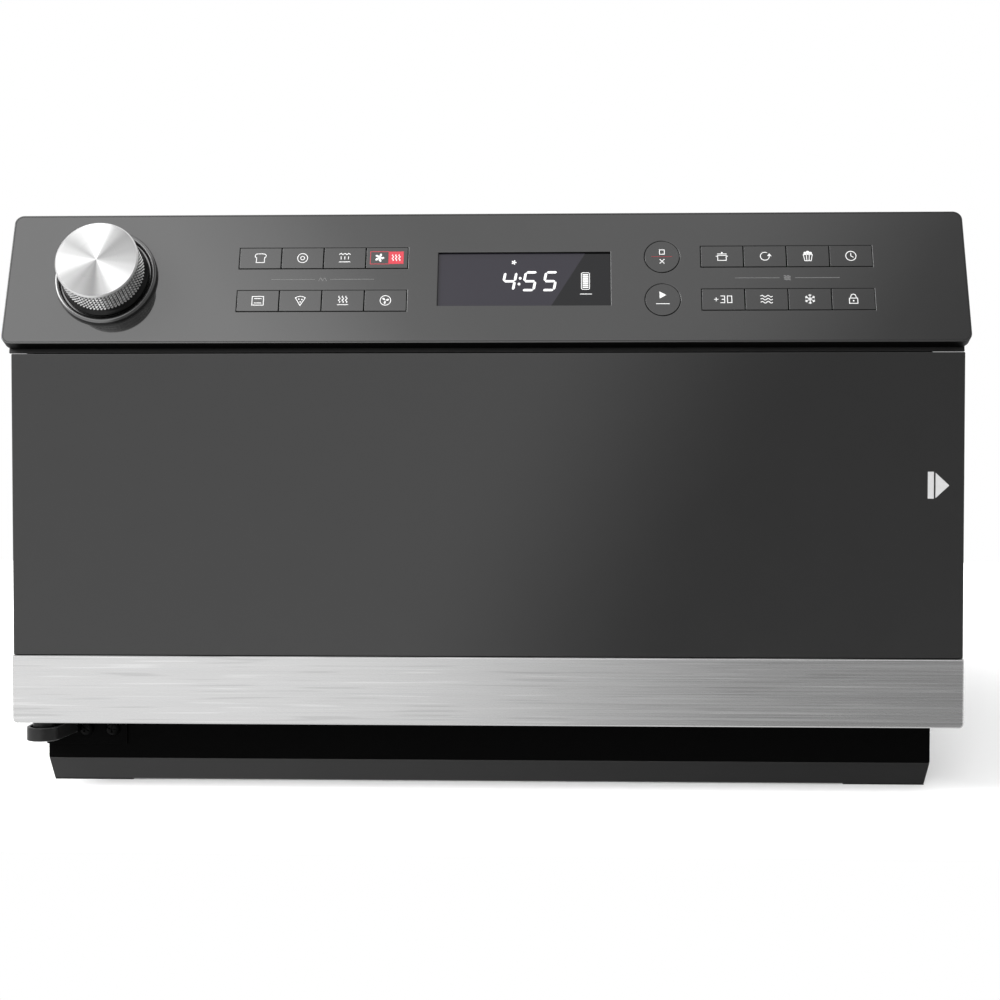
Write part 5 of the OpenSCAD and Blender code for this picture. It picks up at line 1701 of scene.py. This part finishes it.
class Inside:
    """The cooking space, its turntable, heaters and fans, and the power parts."""

    def build(self) -> None:
        """Builds what shows through the open door, and dresses the rest."""
        soften_all((
            ("oven_cavity", 0.0003, CAVITY_ENAMEL, "cavity_enamel"),
            ("turntable_plate", 0.0007, PLATE_GLASS, "clear_glass"),
            ("turntable_coupler", 0.0003, IVORY_PLASTIC, "ivory_plastic"),
            *((node, 0.0004, IVORY_PLASTIC, "ivory_plastic")
              for node in ("roller_ring", "roller_1", "roller_2", "roller_3")),
            ("waveguide_cover", 0.0002, MICA, "mica"),
            ("grill_reflector", 0.0003, ZINC_STEEL, "zinc_steel"),
            ("grill_heater", 0.0, QUARTZ, "quartz"),
            ("convection_fan", 0.0002, ZINC_STEEL, "zinc_steel"),
            ("convection_heater", 0.0, ELEMENT, "element_steel"),
            ("cooling_fan", 0.0002, BLACK_PLASTIC, "black_plastic")))
        for finish, nodes in ((ZINC_STEEL, ("turntable_motor",)), (WINDING, ("transformer",)),
                              (CASTING, ("convection_motor", "magnetron", "cooling_fan_motor")),
                              (BLACK_PLASTIC, ("cooling_fan_duct", "latch_switches"))):
            for node in nodes:
                dress(node, finish)


# ---------------------------------------------------------------- studio

@dataclass
class Studio:
    """Camera, lamps, world and floor."""

    camera_at: tuple[float, float, float] = (0.0435, -1.1508, 0.1884)
    forward: tuple[float, float, float] = (-0.03654, 0.99888, -0.03005)
    lens: float = 61.87
    floor_front: float = 0.36
    floor_side: float = 2.6
    floor_back: float = 1.7
    floor_glow: float = 0.10
    glow_reach: Point = (0.45, 1.1)
    aim: tuple[float, float, float] = (0.0, 0.0, 0.12)
    wall_foot: float = -0.12
    wall_lean: float = -0.45
    wall: Span = (-0.055, 0.12, 1.1, 0.3)
    bank_pivot: float = 0.72
    bank_lean: Span = (-0.03, 0.09, 1.0, -0.8)
    bank_rise: Point = (0.2, 0.55)
    table_fall: Point = (-0.55, -0.8)
    table: Span = (-0.3, 0.3, 1.2, 0.3)
    back_start: Point = (-0.05, 0.25)
    back_level: float = 0.45
    zenith: Span = (0.82, 0.92, 0.0, 1.4)
    bank: tuple[tuple[float, float], ...] = (
        (-1.0, 1.2), (-0.45, 2.05), (-0.19, 2.05), (-0.13, 1.62), (-0.08, 1.1), (-0.03, 0.95),
        (0.03, 0.90), (0.07, 0.82), (0.11, 0.65), (0.15, 0.42), (0.19, 0.2), (0.24, 0.1),
        (0.5, 0.3), (1.0, 0.6))

    def build(self) -> None:
        """Sets up the whole studio."""
        self.camera()
        self.world()
        floor_only = bpy.data.collections.new("floor_only")
        floor_only.objects.link(self.floor())
        front = (0.12, -1.75, 0.75)
        self.lamp("key_left", (-1.6, -1.15, 1.35), 1.1, 25.0).visible_glossy = True
        self.lamp("front_soft", front, 0.6, 6.0)
        self.lamp("top_soft", (0.1, 0.25, 1.9), 1.7, 7.0)
        for name, spot, size, power in (("floor_key", (-1.4, -1.2, 1.4), 0.85, 38.0),
                                        ("floor_front", front, 0.6, 22.0)):
            self.lamp(name, spot, size, power).light_linking.receiver_collection = floor_only
        bpy.context.scene.view_settings.view_transform = "Standard"

    def camera(self) -> None:
        """Sets the camera."""
        data = bpy.data.cameras.new("camera")
        data.lens = self.lens
        data.sensor_fit = "HORIZONTAL"
        data.sensor_width = 36.0
        data.clip_start = 0.01
        camera = link(bpy.data.objects.new("camera", data))
        back = -Vector(self.forward).normalized()
        right = Vector((0, 0, 1)).cross(back).normalized()
        turn = Matrix((right, back.cross(right), back)).transposed().to_4x4()
        camera.matrix_world = Matrix.Translation(self.camera_at) @ turn
        bpy.context.scene.camera = camera

    def lamp(self, name: str, spot: tuple[float, float, float], size: float, power: float
             ) -> bpy.types.Object:
        """Adds one soft square lamp that faces the middle of the oven.

        Args:
            name: Name of the lamp.
            spot: Its place in metres.
            size: Its width in metres.
            power: Its power in watts.

        Returns:
            The lamp, which no glossy surface mirrors.
        """
        data = bpy.data.lights.new(name, "AREA")
        data.size = size
        data.energy = power
        lamp = link(bpy.data.objects.new(name, data))
        turn = (Vector(self.aim) - Vector(spot)).to_track_quat("-Z", "Y").to_matrix().to_4x4()
        lamp.matrix_world = Matrix.Translation(spot) @ turn
        lamp.visible_glossy = False
        return lamp

    def world(self) -> None:
        """Makes the studio's walls: bright at the left, dim at the right, even behind.

        A door-height wall steps down along a slanting edge. A higher bank of light fades from
        left to right, the table below fades too, and a panel glows overhead. Camera rays, and
        what the oven's back mirrors, see plain white.
        """
        world = bpy.data.worlds.new("studio")
        bpy.context.scene.world = world
        w = bare_wiring(world)
        axes = w.axes(w.add("ShaderNodeTexCoord").outputs["Generated"])
        x, y, z = axes["X"], axes["Y"], axes["Z"]
        across = w.math("MULTIPLY_ADD", w.math("MAXIMUM", z, self.wall_foot), self.wall_lean, x)
        low = w.remap(across, *self.wall, "SMOOTHSTEP")
        across = w.math("MULTIPLY_ADD", w.math("SUBTRACT", z, self.bank_pivot),
                        w.remap(x, *self.bank_lean), x)
        brightest = max(level for _, level in self.bank)
        stops = [((spot + 1) / 2, level / brightest) for spot, level in self.bank]
        high = w.math("MULTIPLY", w.ramp(w.remap(across, -1.0, 1.0), stops), brightest)
        front = w.blend(w.remap(z, *self.bank_rise), low, high)
        front = w.blend(w.remap(z, *self.table_fall), front, w.remap(x, *self.table))
        behind = w.remap(y, *self.back_start)
        level = w.math("MAXIMUM", w.blend(behind, front, self.back_level),
                       w.remap(z, *self.zenith))
        path = w.add("ShaderNodeLightPath").outputs
        seen = w.math("MAXIMUM", path["Is Camera Ray"], path["Is Transmission Ray"])
        white = w.math("MAXIMUM", seen, w.math("MULTIPLY", path["Is Glossy Ray"], behind))
        sky = w.result("ShaderNodeBackground", {"Color": (1, 1, 1, 1),
                                                "Strength": w.blend(white, level, 1.0)})
        w.add("ShaderNodeOutputWorld", {"Surface": sky})

    def floor(self) -> bpy.types.Object:
        """Lays the pale floor, which shows white and keeps the oven's shadow."""
        mesh = bpy.data.meshes.new("floor")
        outline = box(-self.floor_side, -self.floor_front, self.floor_side, self.floor_back)
        mesh.from_pydata([(x, y, 0) for x, y in outline], [], [(0, 1, 2, 3)])
        material = bpy.data.materials.new("pale_floor")
        w = bare_wiring(material)
        path = w.add("ShaderNodeLightPath").outputs
        seen = w.math("MAXIMUM", path["Is Camera Ray"], w.math(
            "MAXIMUM", path["Is Glossy Ray"], path["Is Transmission Ray"]))
        reach = w.add("ShaderNodeVectorMath", {0: w.place()}, operation="LENGTH").outputs["Value"]
        glow = w.remap(reach, *self.glow_reach, self.floor_glow, 1.0, "SMOOTHSTEP")
        shader = w.result("ShaderNodeBsdfPrincipled", {
            "Base Color": (0.82, 0.82, 0.82, 1), "Roughness": 0.9, "Specular IOR Level": 0.0,
            "Emission Color": (1, 1, 1, 1), "Emission Strength": w.math("MULTIPLY", seen, glow)})
        w.add("ShaderNodeOutputMaterial", {"Surface": shader})
        mesh.materials.append(material)
        floor = link(bpy.data.objects.new("floor", mesh))
        floor.visible_glossy = False
        return floor


def main() -> None:
    """Builds the studio and every part of the oven."""
    logging.basicConfig(level=logging.INFO, format="%(name)s: %(message)s")
    Studio().build()
    plane = PanelPlane.from_frame(Dial.height * MM)
    for part in (ControlPanel(plane), Display(plane), Dial(plane), Door(), Cabinet(), Inside()):
        part.build()
        LOG.info("built %s", type(part).__name__)


if __name__ == "__main__":
    main()
